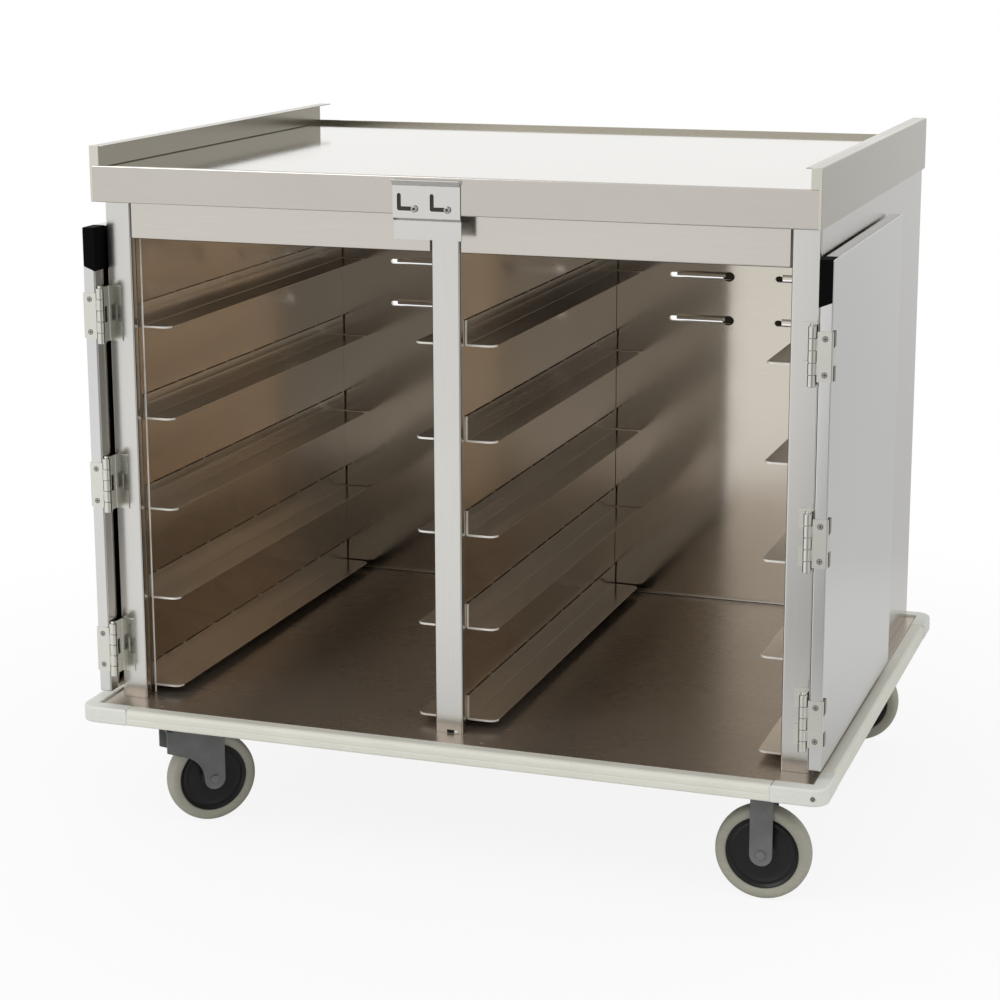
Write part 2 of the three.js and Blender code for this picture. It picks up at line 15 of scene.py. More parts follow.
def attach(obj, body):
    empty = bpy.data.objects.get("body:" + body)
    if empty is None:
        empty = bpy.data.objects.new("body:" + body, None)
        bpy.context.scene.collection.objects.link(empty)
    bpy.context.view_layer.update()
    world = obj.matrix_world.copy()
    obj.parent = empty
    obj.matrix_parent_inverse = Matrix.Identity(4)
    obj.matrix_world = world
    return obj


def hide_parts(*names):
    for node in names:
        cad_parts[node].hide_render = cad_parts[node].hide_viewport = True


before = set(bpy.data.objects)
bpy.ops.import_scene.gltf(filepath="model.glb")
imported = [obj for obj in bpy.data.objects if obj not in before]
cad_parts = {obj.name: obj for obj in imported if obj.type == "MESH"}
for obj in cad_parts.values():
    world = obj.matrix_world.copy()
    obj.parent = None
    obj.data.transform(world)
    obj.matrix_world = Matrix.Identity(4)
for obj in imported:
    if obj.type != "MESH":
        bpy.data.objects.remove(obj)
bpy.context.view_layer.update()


# ---------------- camera
# A long lens at the photograph's place, a little above the top and to the right of the
# open doors. Its place is in metres and its turns are in degrees.
def linked(name, data):
    """A new object of that data, in the scene."""
    made = bpy.data.objects.new(name, data)
    bpy.context.scene.collection.objects.link(made)
    return made


LENS, SHIFT_UP, CAMERA_PLACE = 85.35, -0.06, (1.2543, -3.7796, 1.4854)
CAMERA_YAW, CAMERA_PITCH, CAMERA_ROLL = 19.134, 12.379, -0.173
camera = linked("camera", bpy.data.cameras.new("camera"))
camera.data.lens = LENS
camera.data.shift_y = SHIFT_UP
bpy.context.scene.camera = camera
camera.matrix_world = (
    Matrix.Translation(CAMERA_PLACE)
    @ Matrix.Rotation(math.radians(CAMERA_YAW), 4, "Z")
    @ Matrix.Rotation(math.pi / 2 - math.radians(CAMERA_PITCH), 4, "X")
    @ Matrix.Rotation(math.radians(CAMERA_ROLL), 4, "Z")
)


# ---------------- floor, room and lamps
# A pale seamless floor in a white room, both white to the camera. The metal mirrors a room
# that is dimmer on its right and past its open side. Sizes and places here are in metres.
class Wire:
    """A socket in a material's tree. Sums of wires and numbers add Math nodes."""

    def __init__(self, tree, socket=None):
        self.tree = tree
        self.socket = socket

    def node(self, kind, settings=None, inputs=None, output=0):
        """A node of that type, its settings first, then its sockets' values or links."""
        made = self.tree.nodes.new(kind)
        for key, value in (settings or {}).items():
            setattr(made, key, value)
        for key, value in (inputs or {}).items():
            if isinstance(value, Wire):
                self.tree.links.new(value.socket, made.inputs[key])
            else:
                made.inputs[key].default_value = value
        return Wire(self.tree, made.outputs[output] if made.outputs else None)

    def maths(self, operation, first, second):
        return self.node("ShaderNodeMath", {"operation": operation}, {0: first, 1: second})

    def __add__(self, other):
        return self.maths("ADD", self, other)

    def __sub__(self, other):
        return self.maths("SUBTRACT", self, other)

    def __rsub__(self, other):
        return self.maths("SUBTRACT", other, self)

    def __mul__(self, other):
        return self.maths("MULTIPLY", self, other)

    __radd__ = __add__
    __rmul__ = __mul__

    def vector(self, operation, other=(0, 0, 0), output="Vector"):
        """A Vector Math node on this wire and another value."""
        return self.node("ShaderNodeVectorMath", {"operation": operation}, {0: self, 1: other}, output)

    def clamped(self, low, high):
        """The value's span from low to high, laid on 0 to 1 and held inside it."""
        span = {"Value": self, "From Min": low, "From Max": high}
        return self.node("ShaderNodeMapRange", {"clamp": True}, span)

    def between(self, first, second):
        """A colour between two colours, by this wire."""
        colours = {0: self, 6: first, 7: second}
        return self.node("ShaderNodeMix", {"data_type": "RGBA"}, colours, output=2)


def fresh(owner):
    """The owner's node tree, emptied."""
    owner.use_nodes = True
    owner.node_tree.nodes.clear()
    return Wire(owner.node_tree)


def ray_kinds(tree):
    """Whether the camera sees this straight, and whether it sees it mirrored."""
    return [tree.node("ShaderNodeLightPath", output=f"Is {kind} Ray") for kind in ("Camera", "Glossy")]


BLACK, WHITE = (0, 0, 0, 1), (1, 1, 1, 1)
ROOM_LIGHT = 0.66
OPEN_SIDE, OPEN_SIDE_WIDTH, OPEN_SIDE_DIM = (0.342, -0.94, 0.0), (0.9, 0.965), 0.36
RIGHT_WIDTH, RIGHT_DIM = (-0.05, 0.3), 0.38


def studio_white(direction):
    """How white the studio is that way: dimmer to the right, and darkest past its open side."""
    way = direction.vector("MULTIPLY", (1, 1, 0)).vector("NORMALIZE")
    towards = way.vector("DOT_PRODUCT", OPEN_SIDE, "Value")
    across = way.node("ShaderNodeSeparateXYZ", {}, {"Vector": way}, "X")
    dimmed = towards.clamped(*OPEN_SIDE_WIDTH) * OPEN_SIDE_DIM + across.clamped(*RIGHT_WIDTH) * RIGHT_DIM
    return 1 - dimmed


world = bpy.data.worlds.new("room")
bpy.context.scene.world = world
room = fresh(world)
way_out = room.node("ShaderNodeTexCoord", output="Generated")
seen, mirrored = ray_kinds(room)
in_metal = mirrored * (studio_white(way_out) - ROOM_LIGHT)
strength = seen * (1 - ROOM_LIGHT) + in_metal + ROOM_LIGHT
shine = room.node("ShaderNodeBackground", {}, {"Color": WHITE, "Strength": strength})
room.node("ShaderNodeOutputWorld", {}, {"Surface": shine})

FLOOR_REACH, FLOOR_DROP = 60.0, -0.0006
floor_ends = ((-FLOOR_REACH, -FLOOR_REACH), (FLOOR_REACH, -FLOOR_REACH))
floor_ends += ((FLOOR_REACH, FLOOR_REACH), (-FLOOR_REACH, FLOOR_REACH))
floor = linked("floor", bpy.data.meshes.new("floor"))
floor.data.from_pydata([(x, y, FLOOR_DROP) for x, y in floor_ends], [], [(0, 1, 2, 3)])

FLOOR_WHITE, FLOOR_SEEN, FLOOR_MIRRORED = (0.87, 0.87, 0.87, 1), 0.88, 0.9
SWEEP_START, SWEEP_END = 0.8, 1.9
floor_paper = bpy.data.materials.new("pale_floor")
paper = fresh(floor_paper)
matt = paper.node("ShaderNodeBsdfDiffuse", {}, {"Color": FLOOR_WHITE})
place_on_floor = paper.node("ShaderNodeTexCoord", output="Object")
far_off = place_on_floor.vector("LENGTH", output="Value").clamped(SWEEP_START, SWEEP_END)
seen, mirrored = ray_kinds(paper)
whiteness = 1 - mirrored * far_off * (1 - studio_white(place_on_floor))
glow = paper.node("ShaderNodeEmission", {}, {"Color": whiteness.between(BLACK, WHITE)})
backdrop = far_off * (1 - FLOOR_SEEN) + FLOOR_SEEN
share = seen * backdrop + mirrored * far_off * FLOOR_MIRRORED
lit = paper.node("ShaderNodeMixShader", {}, {0: share, 1: matt, 2: glow})
paper.node("ShaderNodeOutputMaterial", {}, {"Surface": lit})
floor.data.materials.append(floor_paper)


def lamp(name, place, aim, size, watts):
    """A soft square lamp that faces a point on the cart."""
    light = linked(name, bpy.data.lights.new(name, "AREA"))
    light.data.size = size
    light.data.energy = watts
    light.location = place
    light.rotation_mode = "QUATERNION"
    light.rotation_quaternion = (Vector(aim) - Vector(place)).to_track_quat("-Z", "Y")


lamp("key", (-2.6, -3.4, 3.6), (0, 0, 0.6), 2.4, 60)
lamp("fill", (3.4, -2.2, 2.6), (0, 0, 0.5), 2.4, 25)
bpy.context.scene.view_settings.view_transform = "Standard"

# ---------------- platform
# The deck is one folded pan of 1.5 mm stainless sheet with its skirt turned down, plug-welded
# near its front edge. Two hat-section cross members are welded under it, over the casters.
MM = 0.001
SHEET = 1.5


def spot(axis, a, b, along):
    """A point on a flat outline. Outlines are (y, z) for x, (x, z) for y, (x, y) for z."""
    return {"x": (along, a, b), "y": (a, along, b), "z": (a, b, along)}[axis]


def rounded(points, radius, steps=4, closed=False):
    """A flat path with its corners turned into arcs, each within half of its two sides."""
    path = []
    last = len(points) - 1
    for i, here in enumerate(points):
        corner = Vector(here)
        before = Vector(points[i - 1]) - corner
        after = Vector(points[(i + 1) % len(points)]) - corner
        turn = math.pi - before.angle(after)
        if (not closed and i in (0, last)) or turn < 0.02:
            path.append(tuple(here))
            continue
        reach = min(radius * math.tan(turn / 2), before.length * 0.49, after.length * 0.49)
        bend = reach / math.tan(turn / 2)
        start = corner + before.normalized() * reach
        inward = (before.normalized() + after.normalized()).normalized()
        middle = corner + inward * math.hypot(reach, bend)
        spoke = start - middle
        sweep = -turn if before.x * after.y - before.y * after.x > 0 else turn
        for step in range(steps + 1):
            angle = sweep * step / steps
            turned_x = spoke.x * math.cos(angle) - spoke.y * math.sin(angle)
            turned_y = spoke.x * math.sin(angle) + spoke.y * math.cos(angle)
            path.append((middle.x + turned_x, middle.y + turned_y))
    return path


def folded(axis, span, path, thickness=SHEET, bend=2.0, trim=None, far=-1):
    """A sheet folded along a flat path. trim says how far its near end draws in, by distance
    along the path, and the far end moves by far times as much."""
    middle = rounded(path, bend)
    verts, faces = [], []
    travelled = 0.0
    for i, (a, b) in enumerate(middle):
        following = Vector(middle[min(i + 1, len(middle) - 1)])
        leading = Vector(middle[max(i - 1, 0)])
        ahead = (following - leading).normalized()
        if i:
            travelled += (Vector(middle[i]) - Vector(middle[i - 1])).length
        drawn = trim(travelled) if trim else 0.0
        off_a, off_b = -ahead.y * thickness / 2, ahead.x * thickness / 2
        for side in (1, -1):
            for along in (span[0] + drawn, span[1] + far * drawn):
                verts.append(spot(axis, a + side * off_a, b + side * off_b, along))
    for here in range(0, 4 * (len(middle) - 1), 4):
        for p, q in ((0, 1), (1, 3), (3, 2), (2, 0)):
            faces.append((here + p, here + q, here + 4 + q, here + 4 + p))
    end = 4 * (len(middle) - 1)
    return verts, [*faces, (0, 1, 3, 2), (end, end + 1, end + 3, end + 2)]


def lofted(axis, loops, ring=False):
    """Outlines of equal count at their places along an axis, skinned into one closed body."""
    verts = [spot(axis, a, b, along) for along, outline in loops for a, b in outline]
    size = len(loops[0][1])
    faces = []
    for i in range(len(loops) if ring else len(loops) - 1):
        low, high = i * size, ((i + 1) % len(loops)) * size
        for j in range(size):
            k = (j + 1) % size
            faces.append((low + j, low + k, high + k, high + j))
    if not ring:
        top = (len(loops) - 1) * size
        faces += [tuple(range(size)), tuple(range(top, top + size))]
    return verts, faces


def turned(axis, centre, profile, sides=32, ring=False):
    """A profile of (radius, along) pairs turned about an axis."""
    loops = []
    for radius, along in profile:
        angles = [2 * math.pi * i / sides for i in range(sides)]
        loop = [(centre[0] + radius * math.cos(t), centre[1] + radius * math.sin(t)) for t in angles]
        loops.append((along, loop))
    return lofted(axis, loops, ring)


def rectangle(low, high, inset=0.0, radius=0.0, steps=4):
    """The outline of a rectangle from its low to its high corner, drawn in and rounded."""
    a0, b0, a1, b1 = low[0] + inset, low[1] + inset, high[0] - inset, high[1] - inset
    corners = [(a0, b0), (a1, b0), (a1, b1), (a0, b1)]
    return rounded(corners, radius, steps, closed=True) if radius else corners


def quarter_round(ease, steps):
    """The inset and the rise at each step of an eased edge, from its face outwards."""
    angles = [math.pi / 2 * step / steps for step in range(steps + 1)]
    return [(ease * (1 - math.sin(t)), ease * (1 - math.cos(t))) for t in angles]


def placed(name, mesh, place=None, edge=0.0, wall=0.0, crisp=32):
    """An object of that mesh in its place. edge eases its cut edges, wall gives an open face
    its thickness, and edges that turn by more than crisp degrees stay sharp."""
    mesh.name = name
    if place is not None:
        mesh.transform(place)
        if place.determinant() < 0:
            mesh.flip_normals()
    mesh.set_sharp_from_angle(angle=math.radians(crisp))
    made = linked(name, mesh)
    if wall:
        skin = made.modifiers.new("wall", "SOLIDIFY")
        skin.thickness = wall * MM
    if edge:
        ease = made.modifiers.new("eased_edges", "BEVEL")
        ease.width = edge * MM
        ease.segments = 2
        ease.limit_method = "ANGLE"
        ease.angle_limit = math.radians(50)
    flats = made.modifiers.new("flats_stay_flat", "WEIGHTED_NORMAL")
    flats.keep_sharp = True
    return made


def finished(name, parts, **form):
    """An object of those parts, each a closed body."""
    shape = bmesh.new()
    for verts, faces in parts:
        points = [shape.verts.new(Vector(v) * MM) for v in verts]
        made = [shape.faces.new([points[i] for i in face]) for face in faces]
        bmesh.ops.remove_doubles(shape, verts=points, dist=1e-6)
        made = [face for face in made if face.is_valid]
        bmesh.ops.recalc_face_normals(shape, faces=made)
    for face in shape.faces:
        face.smooth = True
    mesh = bpy.data.meshes.new(name)
    shape.to_mesh(mesh)
    shape.free()
    return placed(name, mesh, **form)


def fitted(made, look, body="root", stands_for=None):
    """The piece gets its finish, rides on its body and stands for its CAD node."""
    made.data.materials.append(look)
    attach(made, body)
    if stands_for:
        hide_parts(stands_for)


def piece(name, parts, look, slot=None, body="root", stands_for=None, **form):
    """A finished piece with its look, on its body and in place of its CAD node."""
    fitted(finished(name, parts, **form), look, body, stands_for)


def bare_look(name):
    """A new material, and the place on the cart that its patterns start from."""
    material = bpy.data.materials.new(name)
    return material, fresh(material).node("ShaderNodeTexCoord", output="Object")


def noise(place, scale, detail, roughness=0.5):
    """Soft noise from 0 to 1, so many waves to the metre."""
    inputs = {"Vector": place, "Scale": scale, "Detail": detail, "Roughness": roughness}
    return place.node("ShaderNodeTexNoise", {}, inputs)


def stretched_noise(place, waves, detail):
    """Noise with its own count of waves to the metre along each axis."""
    mapped = place.node("ShaderNodeMapping", {}, {"Vector": place, "Scale": waves})
    return noise(mapped, 1, detail)


def tone(tint, factor=1.0):
    """The tint made darker or lighter."""
    return (*[min(1.0, channel * factor) for channel in tint], 1)


def coated(material, colour, rough, relief, strength, depth, **plain):
    """The material's closing shader. What is plain is the same all over."""
    bumps = relief.node("ShaderNodeBump", {}, {"Strength": strength, "Distance": depth, "Height": relief})
    inputs = {"Base Color": colour, "Roughness": rough, "Normal": bumps}
    inputs.update({socket.replace("_", " "): value for socket, value in plain.items()})
    shader = colour.node("ShaderNodeBsdfPrincipled", {}, inputs)
    colour.node("ShaderNodeOutputMaterial", {}, {"Surface": shader})
    return material


BRUSH_WAVES = {"x": (18, 1300, 1300), "y": (1300, 18, 1300), "z": (1300, 1300, 18)}


def stainless(name, tint, along, roughness, blur=0.0, wear=0.5, relief=0.03, metallic=1.0):
    """Brushed sheet. Its brush lines run along one axis, and wear adds dull wiped clouds."""
    material, place = bare_look(name)
    lines = stretched_noise(place, BRUSH_WAVES[along], 3)
    clouds, slow = noise(place, 5, 5, 0.6), noise(place, 1.6, 2)
    shade = (lines - 0.5) * 0.28 + (slow - 0.5) * 0.9 * wear + (clouds - 0.5) * 0.5 * wear + 0.5
    colour = shade.clamped(0.2, 0.8).between(tone(tint, 0.88), tone(tint, 1.08))
    rough = clouds.clamped(0.42, 0.72) * (wear * 0.06) + (lines - 0.5) * 0.05 + roughness
    plain = {"Metallic": metallic, "Anisotropic": blur, "Anisotropic_Rotation": 0.25}
    return coated(material, colour, rough, lines, relief, 0.0003, **plain)


DECK_TOP, DECK_X, DECK_Y, SKIRT, DECK_BEND, DECK_CORNER = 220.0, 598.0, 465.0, 24.0, 3.0, 4.0
BRUSHED = "brushed_stainless"
# The deck's dark brown tint is painted shade from the bays.
deck_steel = stainless("deck_steel", (0.445, 0.372, 0.30), "x", 0.27, metallic=0.8)


def skirted_pan():
    """The deck with its sides turned down: its inner face, the rim and its outer face."""
    loops = []
    for out in (SHEET, 0.0):
        bend = quarter_round(DECK_BEND - out, 5)
        rings = [(DECK_TOP - out - drop, out + inset) for inset, drop in bend]
        rings.append((DECK_TOP - SKIRT, out))
        if out == 0.0:
            rings.reverse()
        for z, inset in rings:
            loops.append((z, rectangle((-DECK_X, -DECK_Y), (DECK_X, DECK_Y), inset, DECK_CORNER - out)))
    return lofted("z", loops)


piece("deck_pan", [skirted_pan()], deck_steel, BRUSHED, stands_for="platform")

PLUG_WELDS = [(-494.0, -444.0), (65.0, -444.0)]
WELD_DOME = [(3.4, -0.4), (3.4, 0.1), (2.4, 0.5), (1.0, 0.7)]
weld_steel = stainless("weld_steel", (0.85, 0.83, 0.76), "x", 0.4, wear=0.2)
dome = [(radius, DECK_TOP + rise) for radius, rise in WELD_DOME]
welds = [turned("z", centre, dome, 16) for centre in PLUG_WELDS]
piece("deck_plug_welds", welds, weld_steel, BRUSHED, crisp=60)

MEMBER_HALF, MEMBER_WALL, MEMBER_REACH, MEMBER_BEND = 60.0, 3.0, 538.0, 5.0
MEMBER_FOOT, CASTER_ROWS = 191.0, {"front": -385.0, "rear": 385.0}
under_steel = stainless("under_steel", (0.52, 0.50, 0.47), "x", 0.34, wear=0.9)
web, foot, rim = MEMBER_HALF - MEMBER_WALL / 2, MEMBER_FOOT + MEMBER_WALL / 2, DECK_TOP - SHEET
for row, y in CASTER_ROWS.items():
    hat = [(y - web, rim), (y - web, foot), (y + web, foot), (y + web, rim)]
    member = folded("x", (-MEMBER_REACH, MEMBER_REACH), hat, MEMBER_WALL, MEMBER_BEND)
    piece(f"cross_member_{row}", [member], under_steel, BRUSHED, stands_for="platform", edge=0.6)

# ---------------- bumper
# Cream vinyl strips are pressed into a channel round the deck's edge. A crease runs along
# each face. Whiter moulded elbows close the corners, each held by blind rivets.
STRIP_X, STRIP_Y, STRIP_REACH = 598.3, 465.3, 24.0
STRIP_FOOT, STRIP_HEIGHT, STRIP_CREASE = 196.0, 26.5, 12.0
STRIP_END, STRIP_EDGE, STRIP_NOSE = {"x": 537.0, "y": 404.0}, 3.5, 8.0
STRIP_GROOVE = [(0.0, -2.2), (0.2, -1.2), (0.6, -0.3), (0.6, 0.3), (0.2, 1.2), (0.0, 2.2)]


def pushed(axis, span, outline, holes=()):
    """A flat outline with holes, pushed along an axis."""
    loops = [list(outline), *[list(hole) for hole in holes]]
    flat = [point for loop in loops for point in loop]
    verts = [spot(axis, a, b, along) for along in span for a, b in flat]
    count = len(flat)
    caps = [tuple(range(count))]
    if holes:
        caps = tessellate_polygon([[Vector((a, b, 0)) for a, b in loop] for loop in loops])
    faces = [tuple(cap) for cap in caps] + [tuple(count + i for i in cap) for cap in caps]
    start = 0
    for loop in loops:
        for i in range(len(loop)):
            p, q = start + i, start + (i + 1) % len(loop)
            faces.append((p, q, q + count, p + count))
        start += len(loop)
    return verts, faces


def vinyl_look(name, tint, roughness, grime, sheen=0.5):
    """Smooth plastic with faint mottling, handling marks and darker patches of dirt at random."""
    material, place = bare_look(name)
    cloud, fleck = noise(place, 9, 5), noise(place, 260, 3)
    streak = stretched_noise(place, (7, 7, 160), 4)
    mottled = cloud * 0.5 + fleck * 0.25 + streak * 0.25
    colour = mottled.clamped(0.36, 0.58).between(tone(tint, 1 - grime), tone(tint))
    rough = fleck * 0.12 + cloud * 0.12 + (roughness - 0.12)
    return coated(material, colour, rough, fleck, 0.12, 0.0004, Specular_IOR_Level=sheen)


def arc(centre, radius, start, stop, steps=6):
    """Points on a circle between two angles in degrees."""
    angles = [math.radians(start + (stop - start) * i / steps) for i in range(steps + 1)]
    return [(centre[0] + radius * math.cos(t), centre[1] + radius * math.sin(t)) for t in angles]


def strip_section(start):
    """The strip's section, from the deck outwards."""
    out, top = start + STRIP_REACH, STRIP_FOOT + STRIP_HEIGHT
    return [
        (start, STRIP_FOOT),
        *arc((out - STRIP_EDGE, STRIP_FOOT + STRIP_EDGE), STRIP_EDGE, -90, 0, 5),
        *[(out - deep, STRIP_FOOT + STRIP_CREASE + up) for deep, up in STRIP_GROOVE],
        *arc((out - STRIP_NOSE, top - STRIP_NOSE), STRIP_NOSE, 0, 90, 9),
        (start + 1.0, top),
        (start, top - 1.0),
    ]


mirror_x, mirror_y = Matrix.Scale(-1, 4, (1, 0, 0)), Matrix.Scale(-1, 4, (0, 1, 0))
cream_vinyl = vinyl_look("cream_vinyl", (0.79, 0.78, 0.69), 0.5, 0.07)
for node, axis, start, flip in (
    ("bumper_front", "x", STRIP_Y, mirror_y),
    ("bumper_back", "x", STRIP_Y, None),
    ("bumper_left", "y", STRIP_X, mirror_x),
    ("bumper_right", "y", STRIP_X, None),
):
    strip = pushed(axis, (-STRIP_END[axis], STRIP_END[axis]), strip_section(start))
    piece(f"{node}_strip", [strip], cream_vinyl, "cream_vinyl", stands_for=node, place=flip)

ELBOW_PROUD, ELBOW_RADIUS, ELBOW_EASE, ELBOW_GAP, ELBOW_DRAFT = 0.6, 26.0, 4.0, 0.3, 0.2
ELBOW_X, ELBOW_Y = STRIP_X + STRIP_REACH + ELBOW_PROUD, STRIP_Y + STRIP_REACH + ELBOW_PROUD
RIVETS_X, RIVETS_Y, RIVET_LEVEL = (550.0, 582.0), (417.0, 449.0), STRIP_FOOT + 12.5
RIVET_RADIUS, RIVET_RISE, BARE_RIVET = 3.6, 0.6, (STRIP_X + STRIP_REACH - 20.0, RIVET_LEVEL)
ON_AXIS = 0.01


def both_ends(loops, span):
    """Loops at the start of a span, and the same ones mirrored at its end."""
    return loops + [(span[1] - (a - span[0]), outline) for a, outline in reversed(loops)]


def elbow():
    """One corner moulding, its edges eased by shrinking outlines."""
    arm_x, arm_y = STRIP_END["x"] + ELBOW_GAP, STRIP_END["y"] + ELBOW_GAP
    span = (STRIP_FOOT - ELBOW_PROUD, STRIP_FOOT + STRIP_HEIGHT + ELBOW_PROUD)
    loops = []
    for inset, rise in quarter_round(ELBOW_EASE, 5):
        inner_x, inner_y = STRIP_X + inset * ELBOW_DRAFT, STRIP_Y + inset * ELBOW_DRAFT
        outline = [(arm_x + inset, inner_y), (inner_x, inner_y), (inner_x, arm_y + inset)]
        outline.append((ELBOW_X - inset, arm_y + inset))
        outline += arc((ELBOW_X - ELBOW_RADIUS, ELBOW_Y - ELBOW_RADIUS), ELBOW_RADIUS - inset, 0, 90, 10)
        outline.append((arm_x + inset, ELBOW_Y - inset))
        loops.append((span[0] + rise, outline))
    return lofted("z", both_ends(loops, span))


def button(axis, at, face, radius, rise):
    """A low round head that stands on a face."""
    crown = [(radius, face - 0.5), (radius, face + rise * 0.4), (radius * 0.7, face + rise * 0.85)]
    return turned(axis, at, [(ON_AXIS, face - 0.5), *crown, (ON_AXIS, face + rise)], 20)


pale_moulding = vinyl_look("pale_moulding", (0.78, 0.79, 0.73), 0.42, 0.07)
rivet_grey = vinyl_look("rivet_grey", (0.16, 0.15, 0.11), 0.5, 0.4)
for end_x, sign_x in (("left", -1), ("right", 1)):
    for end_y, sign_y in (("front", -1), ("back", 1)):
        flip = Matrix.Diagonal((sign_x, sign_y, 1, 1))
        node = f"bumper_corner_{end_y}_{end_x}"
        parts = [elbow()]
        parts += [button("y", (x, RIVET_LEVEL), ELBOW_Y, RIVET_RADIUS, RIVET_RISE) for x in RIVETS_X]
        parts += [button("x", (y, RIVET_LEVEL), ELBOW_X, RIVET_RADIUS, RIVET_RISE) for y in RIVETS_Y]
        piece(f"{node}_moulding", parts, pale_moulding, "pale_moulding", stands_for=node, place=flip)
        if node == "bumper_corner_front_right":
            bare = button("y", BARE_RIVET, ELBOW_Y, RIVET_RADIUS + 0.2, RIVET_RISE - 0.1)
            piece(f"{node}_bare_rivet", [bare], rivet_grey, "zinc_steel", place=flip)

# ---------------- side walls and posts
# Each side is a double skin. The outer sheet wraps round the front to form the corner post,
# and the liner is welded to the post's back return. A thin rod stands behind the post, and its
# near-white colour is a painted highlight.
WALL_OUT, POST_FACE, POST_IN, POST_BACK, LINER_FACE = 580.0, -415.0, 536.0, -399.5, 542.0
SHELL_FOOT, SHELL_HEAD, SHELL_BACK, HALF = 220.3, 1100.2, 459.2, SHEET / 2
ROD_PLACE, ROD_SPAN = (537.3, -381.3), (SHELL_FOOT + 0.2, 989.0)
ROD_END = [(ON_AXIS, 0.0), (1.0, 0.2), (1.5, 0.8)]
shell_span = (SHELL_FOOT, SHELL_HEAD)
post_steel = stainless("post_steel", (0.665, 0.65, 0.62), "z", 0.2, wear=0.25)
# The liner's darker, browner tint than the post's is painted shade of the bay.
side_liner_steel = stainless("side_liner_steel", (0.50, 0.433, 0.365), "y", 0.12, 0.85, wear=0.6)
sides = (("right", None), ("left", mirror_x))


def painted(name, tint, roughness, metallic):
    """Painted or plated steel, or a near-white painted highlight, with faint mottling and rubbed spots."""
    material, place = bare_look(name)
    cloud, grit = noise(place, 22, 6), noise(place, 420, 2)
    colour = cloud.clamped(0.35, 0.68).between(tone(tint, 0.82), tone(tint, 1.12))
    rough = grit * 0.12 + cloud * 0.14 + (roughness - 0.13)
    return coated(material, colour, rough, grit, 0.15, 0.0003, Metallic=metallic)


# A near-white colour for the bright edges, rods, rims and plug: painted highlight.
edge_highlight_paint = painted("edge_highlight_paint", (0.94, 0.90, 0.83), 0.45, 0.35)
post_path = [(WALL_OUT - HALF, SHELL_BACK), (WALL_OUT - HALF, POST_FACE + HALF)]
post_path += [(POST_IN + HALF, POST_FACE + HALF), (POST_IN + HALF, POST_BACK - HALF)]
post_path.append((LINER_FACE + SHEET, POST_BACK - HALF))
liner_outline = rectangle((LINER_FACE, POST_BACK - SHEET), (LINER_FACE + SHEET, SHELL_BACK))
rod_profile = [(r, ROD_SPAN[0] + z) for r, z in ROD_END]
rod_profile += [(r, ROD_SPAN[1] - z) for r, z in reversed(ROD_END)]
for side, flip in sides:
    skin = folded("z", shell_span, post_path, bend=2.6)
    piece(f"side_skin_{side}", [skin], post_steel, BRUSHED, stands_for=f"side_panel_{side}", place=flip)
    liner = pushed("z", shell_span, liner_outline)
    piece(f"side_liner_{side}", [liner], side_liner_steel, BRUSHED, place=flip)
    rod = turned("z", ROD_PLACE, rod_profile, 14)
    piece(f"front_rod_{side}", [rod], edge_highlight_paint, BRUSHED, place=flip)

# ---------------- centre partition
# Two skins stand back to back between the bays, and a folded channel over their front edges
# makes the centre post. At its foot a black patch is painted shade in a small drain notch, and
# the near-white plug beside it is a painted highlight.
CENTRE_POST, CENTRE_WALL = 23.0, 17.0
NOTCH_SPAN, NOTCH_TOP, PLUG_SPAN, PLUG_TOP, PLUG_CORNER = (-4.0, 8.5), 5.2, (9.0, 14.5), 4.6, 1.4


def with_mirror(half, flip_a, flip_b):
    """Half a path and then its mirror image, from its far end back."""
    return half + [(a * flip_a, b * flip_b) for a, b in reversed(half)]


post_half = [(-CENTRE_WALL + SHEET, POST_BACK - HALF), (-CENTRE_POST + HALF, POST_BACK - HALF)]
post_half.append((-CENTRE_POST + HALF, POST_FACE + HALF))
channel = folded("z", shell_span, with_mirror(post_half, -1, 1), bend=2.4)
piece("centre_post", [channel], post_steel, BRUSHED, stands_for="centre_partition")

# Black: painted shade inside the drain notch.
notch_shade = vinyl_look("notch_shade", (0.012, 0.011, 0.010), 0.6, 0.3, sheen=0.2)
foot = SHELL_FOOT + 0.2
notch = rectangle((NOTCH_SPAN[0], foot), (NOTCH_SPAN[1], SHELL_FOOT + NOTCH_TOP), radius=PLUG_CORNER)
piece("post_drain_notch", [pushed("y", (POST_FACE - 0.15, POST_FACE + 0.6), notch)], notch_shade)
plug = rectangle((PLUG_SPAN[0], foot), (PLUG_SPAN[1], SHELL_FOOT + PLUG_TOP), radius=PLUG_CORNER)
plug_part = pushed("y", (POST_FACE - 0.7, POST_FACE + 0.6), plug)
piece("post_drain_plug", [plug_part], edge_highlight_paint, BRUSHED, edge=0.3)

# Darker and browner than the posts: painted shade of the bays.
liner_steel = stainless("liner_steel", (0.655, 0.55, 0.44), "y", 0.12, 0.85, wear=0.6)
skins_half = [(-CENTRE_WALL + HALF, POST_BACK - SHEET), (-CENTRE_WALL + HALF, SHELL_BACK - HALF)]
skins = folded("z", shell_span, with_mirror(skins_half, -1, 1))
piece("centre_skins", [skins], liner_steel, BRUSHED, stands_for="centre_partition")

# ---------------- back panel
# One sheet closes the back. Each bay breathes through four round-ended slots with drawn
# collars, and a pressed hood behind each slot keeps splashes out.
BACK_FACE, BAY_MIDDLE, VENT_OFFSET, VENT_LEVELS = 461.0, 279.5, 99.5, (840.0, 758.0)
VENT_LENGTH, VENT_HEIGHT, COLLAR_FACE, COLLAR_RIM = 120.0, 9.0, BACK_FACE + 0.02, BACK_FACE + 6.0
